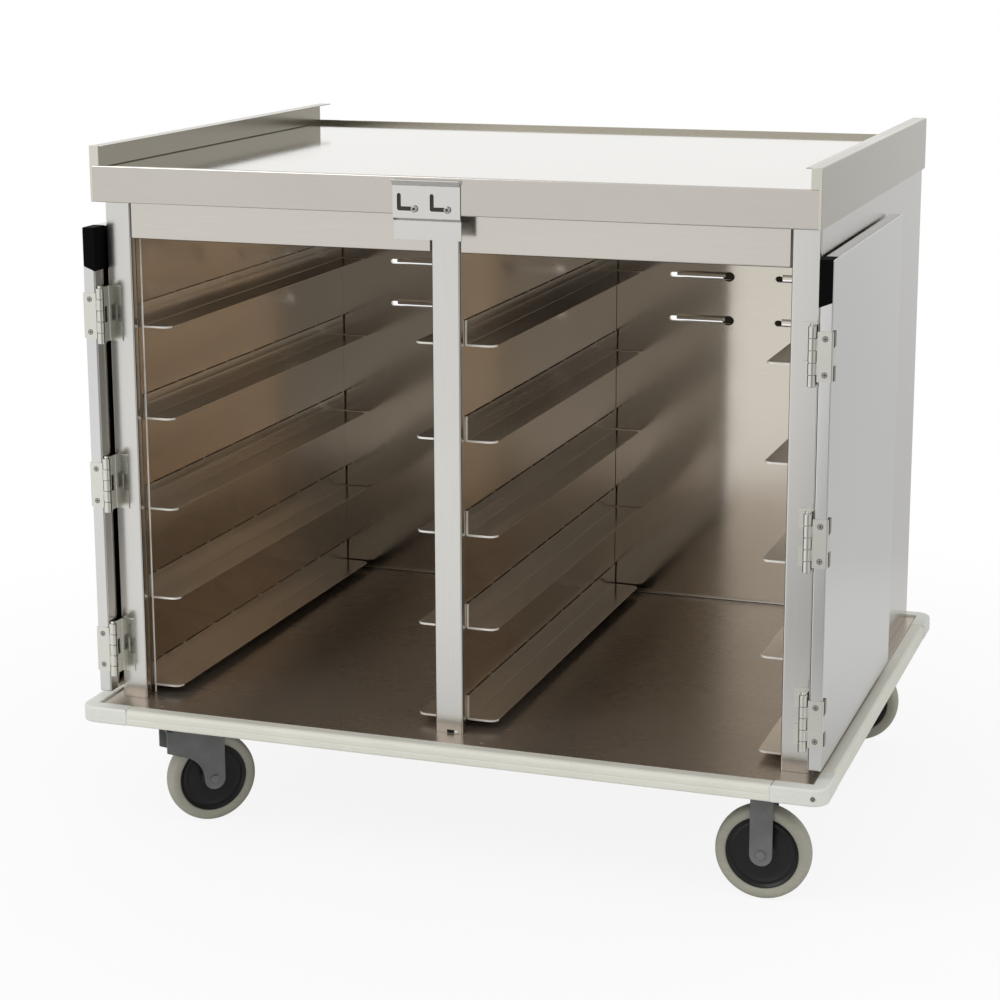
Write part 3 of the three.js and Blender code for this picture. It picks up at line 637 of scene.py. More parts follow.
# Darker and browner than the posts: painted shade of the bays.
back_steel = stainless("back_steel", (0.645, 0.595, 0.52), "x", 0.11, 0.9, wear=0.6)
vent_places = [side * BAY_MIDDLE + offset for side in (-1, 1) for offset in (-VENT_OFFSET, VENT_OFFSET)]
vents = [(x, level) for x in vent_places for level in VENT_LEVELS]
bay_face = BACK_FACE - SHEET


def stadium(centre, grown):
    """A slot's round-ended outline, made larger all round by grown."""
    radius = VENT_HEIGHT / 2 + grown
    reach = VENT_LENGTH / 2 - VENT_HEIGHT / 2
    right = arc((centre[0] + reach, centre[1]), radius, -90, 90, 10)
    return right + arc((centre[0] - reach, centre[1]), radius, 90, 270, 10)


def outwards(x):
    """The sign of the way along X from the middle of a bay to its slot at x."""
    return (1 if x > 0 else -1) * (1 if abs(x) > BAY_MIDDLE else -1)


panel_outline = rectangle((-WALL_OUT, SHELL_FOOT), (WALL_OUT, SHELL_HEAD))
panel = pushed("y", (bay_face, BACK_FACE), panel_outline, [stadium(vent, 0.0) for vent in vents])
piece("back_sheet", [panel], back_steel, BRUSHED, stands_for="back_panel")
collar_section = [(-0.06, bay_face + 0.1), (-0.06, COLLAR_RIM), (1.2, COLLAR_RIM)]
collar_section += [(1.2, COLLAR_FACE), (0.2, COLLAR_FACE), (0.2, bay_face + 0.1)]
collars = []
for vent in vents:
    collars.append(lofted("y", [(y, stadium(vent, grown)) for grown, y in collar_section], ring=True))
# The collars' pale tint, lighter than the back sheet's, is a painted highlight on the slots' rims.
collar_steel = stainless("collar_steel", (0.86, 0.83, 0.77), "x", 0.42, wear=0.2)
piece("vent_collars", collars, collar_steel, BRUSHED)

HOOD_SECTION = [(0.0, 16.0), (4.0, 15.0), (8.5, 11.5), (11.0, 6.0), (12.0, 0.0), (12.0, -2.0)]
HOOD_ENDS, HOOD_SPAN, HOOD_STEP, HOOD_OFF = [0.0, 0.35, 0.6, 0.8, 0.93, 1.0], (-72.0, 41.0), 3.2, 0.9


def hood(centre):
    """A pressed cover over a slot, open along its lower edge and past the slot's outer end."""
    stations = [(HOOD_SPAN[0] + HOOD_STEP * i, size) for i, size in enumerate(HOOD_ENDS)]
    ending = [(HOOD_SPAN[1] - HOOD_STEP * i, size) for i, size in enumerate(HOOD_ENDS)]
    stations += reversed(ending)
    verts = []
    for x, size in stations:
        for depth, rise in HOOD_SECTION:
            lift = rise * (0.55 + 0.45 * size) if rise > 0 else rise
            out = BACK_FACE + HOOD_OFF + depth * size
            verts.append((centre[0] + x * outwards(centre[0]), out, centre[1] + lift))
    width = len(HOOD_SECTION)
    starts = [i * width + j for i in range(len(stations) - 1) for j in range(width - 1)]
    return verts, [(p, p + 1, p + width + 1, p + width) for p in starts]


piece("vent_hoods", [hood(vent) for vent in vents], post_steel, BRUSHED, wall=1.2, crisp=50)

# On the bay side a low pressed louvre covers each slot but for its outer end and a slit along
# its foot, where daylight shows as a near-white rim that is painted highlight. A dark dish at the
# inner end of each slot is painted shade, smaller on the outer slots.
LOUVRE_RISE, LOUVRE_REACH, LOUVRE_SLIT, LOUVRE_PROUD, LOUVRE_SHEET = 8.0, 46.0, 1.0, 1.6, 0.9
RIM_REACH, RIM_PROUD, RIM_DROP = 56.0, 2.0, 1.4
HOLLOW_OFFSET, HOLLOW_LENGTH, HOLLOW_HEIGHT, HOLLOW_OUTER_SHARE = 52.0, 11.0, 9.0, 0.6
HOLLOW_DOME = [(1.0, 0.0), (0.94, -0.9), (0.78, -1.7), (0.45, -2.3)]
crowns, rims, hollows = [], [], []
for x, z in vents:
    crown_path = [
        (bay_face + 0.4, z + LOUVRE_RISE),
        (bay_face - 1.0, z + LOUVRE_RISE - 2.5),
        (bay_face - LOUVRE_PROUD, z + LOUVRE_RISE / 2),
        (bay_face - LOUVRE_PROUD, z - LOUVRE_SLIT),
    ]
    crowns.append(folded("x", (x - LOUVRE_REACH, x + LOUVRE_REACH), crown_path, LOUVRE_SHEET, bend=4.0))
    foot = z - VENT_HEIGHT / 2
    rim = rectangle((bay_face - RIM_PROUD, foot - RIM_DROP), (bay_face + 0.2, foot + 0.2), radius=0.7)
    rims.append(pushed("x", (x - RIM_REACH, x + RIM_REACH), rim))
    middle = x - outwards(x) * HOLLOW_OFFSET
    share = HOLLOW_OUTER_SHARE if abs(x) > BAY_MIDDLE else 1.0
    loops = []
    for spread, rise in HOLLOW_DOME:
        across, up = HOLLOW_LENGTH * spread * share, HOLLOW_HEIGHT * spread * share
        angles = [i * math.pi / 14 for i in range(28)]
        oval = [(middle + across * math.cos(t), z + up * math.sin(t)) for t in angles]
        loops.append((bay_face + 0.1 + rise, oval))
    hollows.append(lofted("y", loops))
# Near black: painted shade in the slots' inner ends.
vent_end_shade = vinyl_look("vent_end_shade", (0.10, 0.085, 0.065), 0.7, 0.5, sheen=0.15)
piece("vent_louvre_crowns", crowns, back_steel, BRUSHED)
piece("vent_louvre_rims", rims, edge_highlight_paint, BRUSHED)
piece("vent_hollow_ends", hollows, vent_end_shade, crisp=60)

# A narrow cove strip covers the joint between the deck and the back in each bay.
COVE_HEIGHT, COVE_REACH, COVE_SHEET, COVE_GAP, COVE_BEND = 7.0, 7.0, 1.0, 0.1, 2.5
COVE_SPAN = (CENTRE_WALL + 0.5, LINER_FACE - 0.5)
cove_steel = stainless("cove_steel", (0.68, 0.64, 0.58), "x", 0.22, wear=0.4)
upright, flat = bay_face - COVE_SHEET / 2 - COVE_GAP, DECK_TOP + COVE_SHEET / 2 + COVE_GAP
cove_path = [(upright, flat + COVE_HEIGHT), (upright, flat), (upright - COVE_REACH, flat)]
for side, span in (("left", (-COVE_SPAN[1], -COVE_SPAN[0])), ("right", COVE_SPAN)):
    cove = folded("x", span, cove_path, COVE_SHEET, COVE_BEND)
    piece(f"cove_strip_{side}", [cove], cove_steel, BRUSHED, edge=0.2)

# ---------------- header
# Two face plates close the space over the bays, with their lower edges turned in. They hang
# from a strip that laps over the posts' heads, and dark strips in their upright seams are painted shade.
DOORWAY_TOP, STRIP_BOTTOM, HEADER_LIP, LAP_GAP, SEAM = 990.0, 1057.0, 15.0, 0.3, 2.5
header_steel = stainless("header_steel", (0.615, 0.58, 0.53), "x", 0.16, 0.5, wear=0.3)
lap_face = POST_FACE - LAP_GAP
lap_outline = rectangle((lap_face - SHEET, STRIP_BOTTOM), (lap_face, SHELL_HEAD))
faces_path = [(POST_FACE + HALF, SHELL_HEAD), (POST_FACE + HALF, DOORWAY_TOP + HALF)]
faces_path.append((POST_FACE + HEADER_LIP, DOORWAY_TOP + HALF))
low, high = CENTRE_POST + SEAM, POST_IN - SEAM
header_parts = [pushed("x", (-WALL_OUT + SHEET, WALL_OUT - SHEET), lap_outline)]
header_parts += [folded("x", span, faces_path, bend=2.2) for span in ((-high, -low), (low, high))]
piece("header_plates", header_parts, header_steel, BRUSHED, stands_for="header_panel")

SEAM_DEPTH, SEAM_TOP, SEAM_FILL = (POST_FACE + 0.7, POST_FACE + 3.0), STRIP_BOTTOM + 10.0, 1.15
# Dark brown-grey: painted shade in the seams and in the corners at the rails' feet.
seam_shade = vinyl_look("seam_shade", (0.14, 0.125, 0.10), 0.6, 0.3, sheen=0.2)
seams = []
for off_centre in (CENTRE_POST + SEAM / 2, POST_IN - SEAM / 2):
    for x in (-off_centre, off_centre):
        seam = rectangle((x - SEAM_FILL, DOORWAY_TOP + 0.2), (x + SEAM_FILL, SEAM_TOP))
        seams.append(pushed("y", SEAM_DEPTH, seam))
piece("header_seams", seams, seam_shade)

# ---------------- worktop
# A bright polished sheet. Its front edge is hemmed up above the top, then turns down as the
# fascia. Two side rails with turned-in flanges and a rear lip hold loads on it. A dark bead at
# the foot of each rail is painted shade in that corner.
FASCIA_FACE, FASCIA_FOOT, EDGE_TOP, WORKTOP, FASCIA_RETURN = -451.0, 1051.0, 1109.0, 1102.0, -417.6
RAIL_FACE, RAIL_TOP, RAIL_FLANGE, SKIRT_BACK = 585.0, 1140.0, 24.0, 462.8
EDGE_HEM, RETURN_OVER_EDGE, RETURN_AT_FASCIA, RETURN_GAP = 8.0, 16.0, 4.5, 0.2
POLISHED = "polished_stainless"
top_steel = stainless("top_steel", (0.71, 0.69, 0.64), "x", 0.07, wear=0.25, relief=0.01)
fascia_steel = stainless("fascia_steel", (0.565, 0.535, 0.49), "x", 0.15, 0.6, wear=0.35)
rail_steel = stainless("rail_steel", (0.445, 0.415, 0.345), "y", 0.17, 0.5, wear=0.35)
top_span = (-RAIL_FACE + SHEET, RAIL_FACE - SHEET)

face, hem = FASCIA_FACE + HALF, FASCIA_FACE + EDGE_HEM
fascia_path = [(FASCIA_RETURN, FASCIA_FOOT + HALF), (face, FASCIA_FOOT + HALF), (face, EDGE_TOP - HALF)]
fascia_path += [(hem - HALF, EDGE_TOP - HALF), (hem - HALF, WORKTOP - HALF)]
fascia = folded("x", top_span, fascia_path, bend=1.6)
piece("fascia", [fascia], fascia_steel, POLISHED, stands_for="top_panel")
top_outline = rectangle((hem - SHEET, WORKTOP - SHEET), (SKIRT_BACK - SHEET, WORKTOP))
piece("worktop_sheet", [pushed("x", top_span, top_outline)], top_steel, POLISHED, stands_for="top_panel")
lip_outline = rectangle((SKIRT_BACK - SHEET, FASCIA_FOOT), (SKIRT_BACK, EDGE_TOP))
lip = pushed("x", top_span, lip_outline)
piece("rear_lip", [lip], rail_steel, POLISHED, stands_for="top_panel", edge=0.5)

rail_path = [(RAIL_FACE - RAIL_FLANGE, RAIL_TOP - HALF), (RAIL_FACE - HALF, RAIL_TOP - HALF)]
rail_path.append((RAIL_FACE - HALF, FASCIA_FOOT))
out, head, step = RAIL_FACE - RETURN_GAP, RAIL_TOP - RETURN_GAP, EDGE_TOP - 0.4
narrow, broad = RAIL_FACE - RETURN_AT_FASCIA, RAIL_FACE - RETURN_OVER_EDGE
return_outline = [(narrow, FASCIA_FOOT), (out, FASCIA_FOOT), (out, head)]
return_outline += [(broad, head), (broad, step), (narrow, step)]
# The front returns' tint, lighter than the rails', is a painted highlight at the rail's front corner.
return_steel = stainless("return_steel", (0.66, 0.64, 0.57), "z", 0.24, wear=0.3)
foot = RAIL_FACE - SHEET
foot_shade_outline = rectangle((foot - 2.0, WORKTOP - 0.2), (foot + 0.1, WORKTOP + 1.0))
for side, flip in sides:
    length = folded("y", (FASCIA_FACE + 0.2, SKIRT_BACK), rail_path, bend=2.2)
    form = {"place": flip, "edge": 0.35, "stands_for": "top_panel"}
    piece(f"rail_{side}", [length], rail_steel, POLISHED, **form)
    front_return = pushed("y", (FASCIA_FACE - 0.05, FASCIA_FACE + SHEET), return_outline)
    piece(f"rail_end_{side}", [front_return], return_steel, POLISHED, **form)
    foot_shade = pushed("y", (hem + 1.0, SKIRT_BACK - SHEET), foot_shade_outline)
    piece(f"rail_foot_shade_{side}", [foot_shade], seam_shade, place=flip)

# ---------------- latch
# A cut plate hangs on two shoulder screws through its L-shaped slots. Its top leans out as a
# finger lip, and its lower edge steps back to lap over the closed doors.
LATCH_SPAN, LATCH_TOP, LATCH_BEND, LATCH_FOOT = (-70.5, 38.0), 1095.0, 1046.2, 1013.0
LATCH_FACE, LATCH_SHEET, LATCH_STEP, LATCH_EASE = -453.3, 2.0, 4.5, 2.0
SLOT_WIDTH, SLOT_SLIDE, SLOT_DROP, SLOT_LEVEL = 6.4, 25.0, 20.0, 1060.0
LIP_LENGTH, LIP_LEAN, SCREWS = 11.0, math.radians(40), (-35.2, 17.8)
latch_steel = stainless("latch_steel", (0.66, 0.65, 0.63), "x", 0.18, 0.4, wear=0.3)


def latch_slot(screw):
    """An L-shaped slot: a level leg for the slide and an upright leg for the drop."""
    half, leg = SLOT_WIDTH / 2, screw - SLOT_SLIDE
    return [
        *arc((screw, SLOT_LEVEL), half, -90, 90),
        (leg + half, SLOT_LEVEL + half),
        *arc((leg, SLOT_LEVEL + SLOT_DROP), half, 0, 180),
        *arc((leg, SLOT_LEVEL), half, 180, 270, 3),
    ]


low, high = LATCH_BEND + LATCH_EASE, LATCH_TOP - LATCH_EASE
plate_outline = rectangle((LATCH_SPAN[0], low), (LATCH_SPAN[1], high))
middle, back = LATCH_FACE + LATCH_SHEET / 2, LATCH_FACE + LATCH_SHEET
lip_end = (middle - LIP_LENGTH * math.sin(LIP_LEAN), LATCH_TOP + LIP_LENGTH * math.cos(LIP_LEAN))
tongue_path = [(middle, low), (middle, LATCH_BEND), (middle + LATCH_STEP, LATCH_BEND - LATCH_STEP)]
tongue_path.append((middle + LATCH_STEP, LATCH_FOOT))
latch_parts = [
    pushed("y", (LATCH_FACE, back), plate_outline, [latch_slot(screw) for screw in SCREWS]),
    folded("x", LATCH_SPAN, [(middle, high), (middle, LATCH_TOP), lip_end], LATCH_SHEET),
    folded("x", LATCH_SPAN, tongue_path, LATCH_SHEET),
]
piece("latch_blade", latch_parts, latch_steel, BRUSHED, "latch", "latch_plate")

# A dark sheet behind the slots is painted shade inside them. A hollow for a six-sided key is
# sunk in the head of each screw, and a dark six-sided disc at its floor is painted shade.
SLOT_SHADE_MARGIN = 4.5
slot_shade_dark = vinyl_look("slot_shade_dark", (0.07, 0.06, 0.05), 0.7, 0.3, sheen=0.2)
slot_shade_sheets = []
for screw in SCREWS:
    low = (screw - SLOT_SLIDE - SLOT_SHADE_MARGIN, SLOT_LEVEL - SLOT_SHADE_MARGIN)
    high = (screw + SLOT_SHADE_MARGIN, SLOT_LEVEL + SLOT_DROP + SLOT_SHADE_MARGIN)
    slot_shade_sheets.append(pushed("y", (back + 0.04, back + 0.24), rectangle(low, high, radius=1.0)))
piece("latch_slot_shade", slot_shade_sheets, slot_shade_dark, None, "latch")

SHANK, SHANK_END, HEAD_BACK = 2.7, FASCIA_FACE + 1.0, LATCH_FACE - 0.3
SCREW_HEAD = [(5.5, 0.0), (5.5, 1.9), (5.0, 2.6), (4.2, 3.0), (2.2, 3.0), (2.2, 1.6), (ON_AXIS, 1.6)]
SCREW_HOLLOW = [(ON_AXIS, 1.0), (2.15, 1.0), (2.15, 1.75), (ON_AXIS, 1.75)]
screw_steel = stainless("screw_steel", (0.42, 0.41, 0.39), "z", 0.36, wear=0.6)
recess_shade = vinyl_look("recess_shade", (0.05, 0.048, 0.042), 0.6, 0.3)
shank = [(ON_AXIS, SHANK_END), (SHANK, SHANK_END), (SHANK, HEAD_BACK)]
head = shank + [(radius, HEAD_BACK - proud) for radius, proud in SCREW_HEAD]
hollow = [(radius, HEAD_BACK - proud) for radius, proud in SCREW_HOLLOW]
heads = [turned("y", (screw, SLOT_LEVEL), head, 28) for screw in SCREWS]
piece("latch_screws", heads, screw_steel, BRUSHED, stands_for="top_panel")
hollows = [turned("y", (screw, SLOT_LEVEL), hollow, 6) for screw in SCREWS]
piece("latch_screw_recesses", hollows, recess_shade)

# ---------------- tray slides
# Twenty angles of bent sheet, five pairs to a bay. The upright is tacked to the wall along
# its top edge, and the ledge that carries the trays has rounded corners. A near-white strip on
# each front edge is a painted highlight.
SLIDE_START, SLIDE_END, LEDGE, UPRIGHT, LEDGE_CORNER = -379.0, 453.5, 50.0, 40.0, 14.0
LEDGE_TOPS = [234.5 + 152.0 * level for level in range(5)]
SLIDE_GAP, SLIDE_BEND, BEND_LOSS, SLIDE_KNEE = 0.3, 1.8, 2.9, 24.0
LEAN_TOP, LEAN_FOOT, EDGE_LEAN_FOOT = 1.9, 0.8, 1.7
EDGE_SHEET, EDGE_SPAN = 3.0, (SLIDE_START - 0.3, SLIDE_START + 1.4)
TACKS, TACK_MARGIN, TACK_DRIFT, TACK_RISE = 9, 30.0, 9.0, 37.4
TACK_LENGTH, TACK_RADIUS, TACK_OFF = 11.0, 1.7, 1.2
SLIDE_STEEL = "slide_stainless"
# The slides' brown tint, darker than the posts', is painted shade of the bays.
slide_steel = stainless("slide_steel", (0.60, 0.53, 0.45), "y", 0.17, 0.5, metallic=0.85)
tack_steel = stainless("tack_steel", (0.74, 0.70, 0.63), "x", 0.3, wear=0.3)
bays = {"left": (-LINER_FACE, -CENTRE_WALL), "right": (CENTRE_WALL, LINER_FACE)}


def slide_corner(travelled):
    """How far the ledge's rounded corner has drawn in, that far along the section."""
    over = travelled - (UPRIGHT + LEDGE - BEND_LOSS - LEDGE_CORNER)
    over = min(max(over, 0.0), LEDGE_CORNER)
    return LEDGE_CORNER - math.sqrt(LEDGE_CORNER**2 - over**2)


def slide(wall, into, top, highlight_only=False):
    """One angle, its upright a little off the wall at the top, or only the near-white strip on its front
    edge, which is a painted highlight.
    """
    face, level = wall + into * SLIDE_GAP, top - HALF
    off = EDGE_LEAN_FOOT if highlight_only else LEAN_FOOT
    path = [(face + into * LEAN_TOP, top - SHEET + UPRIGHT), (face + into * off, top + SLIDE_KNEE)]
    path.append((face + into * off, level))
    path += [(face + into * (LEDGE - LEDGE_CORNER * (1 - i / 5)), level) for i in range(6)]
    span, sheet, far = (SLIDE_START, SLIDE_END), SHEET, -1
    if highlight_only:
        span, sheet, far = EDGE_SPAN, EDGE_SHEET, 1
    return folded("y", span, path, sheet, SLIDE_BEND, slide_corner, far)


def tack(x, y, z):
    """A small weld bead that lies along Y."""
    angles = [math.pi * i / 6 for i in range(1, 6)]
    profile = [(ON_AXIS, y - TACK_LENGTH / 2)]
    profile += [(TACK_RADIUS * math.sin(t), y - TACK_LENGTH / 2 * math.cos(t)) for t in angles]
    profile.append((ON_AXIS, y + TACK_LENGTH / 2))
    return turned("y", (x, z), profile, 10)


for bay, walls in bays.items():
    for level, top in enumerate(LEDGE_TOPS, 1):
        for side, wall, into in (("left", walls[0], 1), ("right", walls[1], -1)):
            name = f"{bay}_bay_{level}_{side}"
            angle, node = slide(wall, into, top), f"slide_{name}"
            piece(f"angle_{name}", [angle], slide_steel, SLIDE_STEEL, stands_for=node, edge=0.3)
            beads = []
            for i in range(TACKS):
                y = SLIDE_START + TACK_MARGIN + i * (SLIDE_END - SLIDE_START - 2 * TACK_MARGIN) / (TACKS - 1)
                y += TACK_DRIFT * math.sin(3.1 * i + 1.7 * level)
                beads.append(tack(wall + into * TACK_OFF, y, top + TACK_RISE))
            piece(f"tacks_{name}", beads, tack_steel, SLIDE_STEEL)
            highlight_strip = slide(wall, into, top, highlight_only=True)
            piece(f"front_edge_highlight_{name}", [highlight_strip], edge_highlight_paint, SLIDE_STEEL)

# ---------------- doors
# Hollow doors, shown folded back flat along the side walls. A deep pan faces inwards when the
# door is shut and a flat skin closes its front. A black moulded cap fills the top corner on
# the hinge side.
DOOR_NEAR, DOOR_SEAM, DOOR_FAR, SKIN_GAP, SKIN_INSET = 584.0, 585.6, 605.0, 0.3, 0.7
DOOR_START, DOOR_END, DOOR_FOOT, DOOR_HEAD = -448.4, 125.5, 237.0, 1009.0
CAP_HEIGHT, CAP_SLOPE, CAP_REACH, CAP_PROUD, CAP_SINK = 70.0, 8.0, 36.0, 0.5, 1.2
door_steel = stainless("door_steel", (0.68, 0.675, 0.665), "z", 0.17, wear=0.3)
skin_steel = stainless("skin_steel", (0.61, 0.575, 0.53), "z", 0.14, wear=0.35)
cap_black = vinyl_look("cap_black", (0.002, 0.002, 0.002), 0.7, 0.3, sheen=0.06)


def eased_slab(span, trimmed, ease, corner):
    """A slab of the door's outline, trimmed all round, with its edges eased."""
    low, high = (DOOR_START + trimmed, DOOR_FOOT + trimmed), (DOOR_END - trimmed, DOOR_HEAD - trimmed)
    loops = []
    for inset, rise in quarter_round(ease, 4):
        loops.append((span[0] + rise, rectangle(low, high, inset, max(corner - inset, 0.4))))
    return lofted("x", both_ends(loops, span))


near, far = DOOR_NEAR - CAP_PROUD, DOOR_FAR - CAP_SINK
cap_foot, cap_head = DOOR_HEAD - CAP_HEIGHT, DOOR_HEAD + CAP_PROUD
cap_outline = [(near, cap_foot), (far, cap_foot + CAP_SLOPE), (far, cap_head), (near, cap_head)]
cap_span = (DOOR_START - CAP_PROUD, DOOR_START + CAP_REACH)
for side, flip in sides:
    node = f"door_{side}"
    pan = eased_slab((DOOR_SEAM, DOOR_FAR), 0.0, 2.0, 2.5)
    piece(f"door_pan_{side}", [pan], door_steel, "door_stainless", node, node, place=flip)
    skin = eased_slab((DOOR_NEAR, DOOR_SEAM - SKIN_GAP), SKIN_INSET, 0.5, 1.5)
    piece(f"door_skin_{side}", [skin], skin_steel, "door_stainless", node, node, place=flip)
    cap = pushed("y", cap_span, rounded(cap_outline, 1.0, 3, closed=True))
    piece(f"door_cap_{side}", [cap], cap_black, None, node, place=flip, edge=0.5)

# ---------------- hinges
# Three hinges to a door. A bent bracket is screwed to the post and carries the pin, and the
# leaf wraps round the edge of the door. Their knuckles alternate, five to a hinge. The leaf's
# screws are flush, so that a door clears its brackets when it is shut.
PIN_X, PIN_Y, PIN_RADIUS, BARREL, KNUCKLE, KNUCKLE_GAP, ROLL_EASE = 576.0, -449.0, 3.2, 6.5, 18.0, 0.3, 0.6
HINGE_LEVELS = {"bottom": 311.0, "middle": 589.5, "top": 868.0}
BRACKET_HALF, BRACKET_SHEET, BRACKET_WEB, BRACKET_Y, BRACKET_REACH = 44.7, 2.0, 578.7, -416.3, 23.0
WINDOW_HALF, WINDOW_Y, NOTCH_X, NOTCH_Y = 13.0, (-439.5, -424.5), (554.0, 565.7), (-420.0, -412.0)
LEAF_HALF, LEAF_SHEET, LEAF_Y, LEAF_X, LEAF_START, LEAF_END = 37.0, 1.7, -449.55, 606.15, 583.5, -430.0
LEAF_CUT_X, LEAF_CUT_Y, LEAF_CUT_TOP = (603.0, 609.0), (-447.0, -440.0), 40.0
HINGE_STEEL = "hinge_stainless"
hinge_steel = stainless("hinge_steel", (0.70, 0.69, 0.63), "z", 0.26, wear=0.4)


def cut(body, tools):
    """The piece with closed tool shapes taken out of it."""
    cutter = finished("cutter", tools)
    taking = body.modifiers.new("cut", "BOOLEAN")
    taking.operation = "DIFFERENCE"
    taking.solver = "EXACT"
    taking.use_self = True
    taking.object = cutter
    bpy.context.view_layer.update()
    whole = body.evaluated_get(bpy.context.evaluated_depsgraph_get())
    carved = bpy.data.meshes.new_from_object(whole)
    body.modifiers.remove(taking)
    bpy.data.objects.remove(cutter)
    body.data = carved


def block(x_span, y_span, z_span):
    """A square-edged tool shape or small part."""
    return pushed("z", z_span, rectangle((x_span[0], y_span[0]), (x_span[1], y_span[1])))


def knuckles(turns):
    """The rolled barrels of one half of the hinge, counted from its top."""
    bore = PIN_RADIUS + KNUCKLE_GAP
    barrels = []
    for turn in turns:
        high = 2.5 * KNUCKLE - turn * KNUCKLE - KNUCKLE_GAP
        low = high - KNUCKLE + 2 * KNUCKLE_GAP
        section = [(bore, low), (BARREL - ROLL_EASE, low), (BARREL, low + ROLL_EASE)]
        section += [(BARREL, high - ROLL_EASE), (BARREL - ROLL_EASE, high), (bore, high)]
        barrels.append(turned("z", (PIN_X, PIN_Y), section, ring=True))
    return barrels


def joined(first, other):
    """The first object with the other's mesh added to it."""
    shape = bmesh.new()
    shape.from_mesh(first.data)
    shape.from_mesh(other.data)
    shape.to_mesh(first.data)
    shape.free()
    bpy.data.objects.remove(other)


bracket_path = [(BRACKET_WEB - BRACKET_REACH, BRACKET_Y), (BRACKET_WEB, BRACKET_Y)]
bracket_path.append((BRACKET_WEB, PIN_Y + 1.0))
bracket_sheet = folded("z", (-BRACKET_HALF, BRACKET_HALF), bracket_path, BRACKET_SHEET, bend=2.4)
bracket = finished("bracket_master", [bracket_sheet])
inner, outer, clear = KNUCKLE / 2 - KNUCKLE_GAP, 1.5 * KNUCKLE + KNUCKLE_GAP, BARREL + 1.0
tools = []
for low, high in ((inner, outer), (-outer, -inner)):
    relief = [(ON_AXIS, low), (clear, low), (clear, high), (ON_AXIS, high)]
    tools.append(turned("z", (PIN_X, PIN_Y), relief))
window_z = (-WINDOW_HALF, WINDOW_HALF)
tools.append(block((BRACKET_WEB - 4, BRACKET_WEB + 4), WINDOW_Y, window_z))
tools.append(block(NOTCH_X, NOTCH_Y, window_z))
cut(bracket, tools)
pin_foot, pin_head = -BRACKET_HALF - 0.3, BRACKET_HALF + 4.0
pin_section = [(ON_AXIS, pin_foot), (PIN_RADIUS - 0.5, pin_foot), (PIN_RADIUS, -BRACKET_HALF + 0.4)]
pin_section += [(PIN_RADIUS, BRACKET_HALF + 0.6), (PIN_RADIUS + 1.2, BRACKET_HALF + 1.0)]
pin_section += [(PIN_RADIUS + 1.2, BRACKET_HALF + 2.6), (PIN_RADIUS, pin_head), (ON_AXIS, pin_head)]
pin = turned("z", (PIN_X, PIN_Y), pin_section, 24)
joined(bracket, finished("roll_master", [*knuckles((0, 2, 4)), pin]))

leaf_path = [(LEAF_START, LEAF_Y), (LEAF_X, LEAF_Y), (LEAF_X, LEAF_END)]
leaf = finished("leaf_master", [folded("z", (-LEAF_HALF, LEAF_HALF), leaf_path, LEAF_SHEET, bend=1.7)])
leaf_cuts = ((WINDOW_HALF, LEAF_CUT_TOP), (-LEAF_CUT_TOP, -WINDOW_HALF))
cut(leaf, [block(LEAF_CUT_X, LEAF_CUT_Y, span) for span in leaf_cuts])
ARM_X, ARM_Y, ARM_FEET = (577.0, 584.0), (-450.4, -448.7), (9.3, -26.7)
arm_length = KNUCKLE - 2 * KNUCKLE_GAP
arms = [block(ARM_X, ARM_Y, (low, low + arm_length)) for low in ARM_FEET]
joined(leaf, finished("leaf_roll_master", [*knuckles((1, 3)), *arms]))

PAD_SPAN, PAD_FEET, PAD_LENGTH, PAD_OUT = (-440.6, -429.6), (14.2, -37.0), 22.8, (605.2, 607.35)
pad_steel = stainless("pad_steel", (0.30, 0.29, 0.235), "z", 0.4)
pads = []
for low in PAD_FEET:
    pad = rectangle((PAD_SPAN[0], low), (PAD_SPAN[1], low + PAD_LENGTH), radius=1.6)
    pads.append(pushed("x", PAD_OUT, pad))
leaf_pads = finished("leaf_pads_master", pads)

# The dark rings and crosses at the flush leaf screws are painted shade in their sockets.
SCREW_X, SCREW_SPACING, LEAF_FACE = 595.0, 53.0, -450.4
LEAF_SCREW = [(ON_AXIS, 0.4), (3.6, 0.4), (3.6, -0.14), (3.2, -0.2), (ON_AXIS, -0.23)]
LEAF_SINK = [(3.7, 0.3), (4.5, 0.3), (4.5, -0.08), (3.7, -0.08)]
CROSS_LONG, CROSS_WIDE, CROSS_SPAN = 2.3, 0.6, (LEAF_FACE - 0.27, LEAF_FACE - 0.1)
head = [(radius, LEAF_FACE + proud) for radius, proud in LEAF_SCREW]
sink = [(radius, LEAF_FACE + proud) for radius, proud in LEAF_SINK]
heads, sinks = [], []
for rise in (-SCREW_SPACING / 2, SCREW_SPACING / 2):
    heads.append(turned("y", (SCREW_X, rise), head, 24))
    sinks.append(turned("y", (SCREW_X, rise), sink, 24, ring=True))
    for long, wide in ((CROSS_LONG, CROSS_WIDE), (CROSS_WIDE, CROSS_LONG)):
        sinks.append(block((SCREW_X - long, SCREW_X + long), CROSS_SPAN, (rise - wide, rise + wide)))
leaf_heads = finished("leaf_heads_master", heads)
leaf_sockets = finished("leaf_sockets_master", sinks)

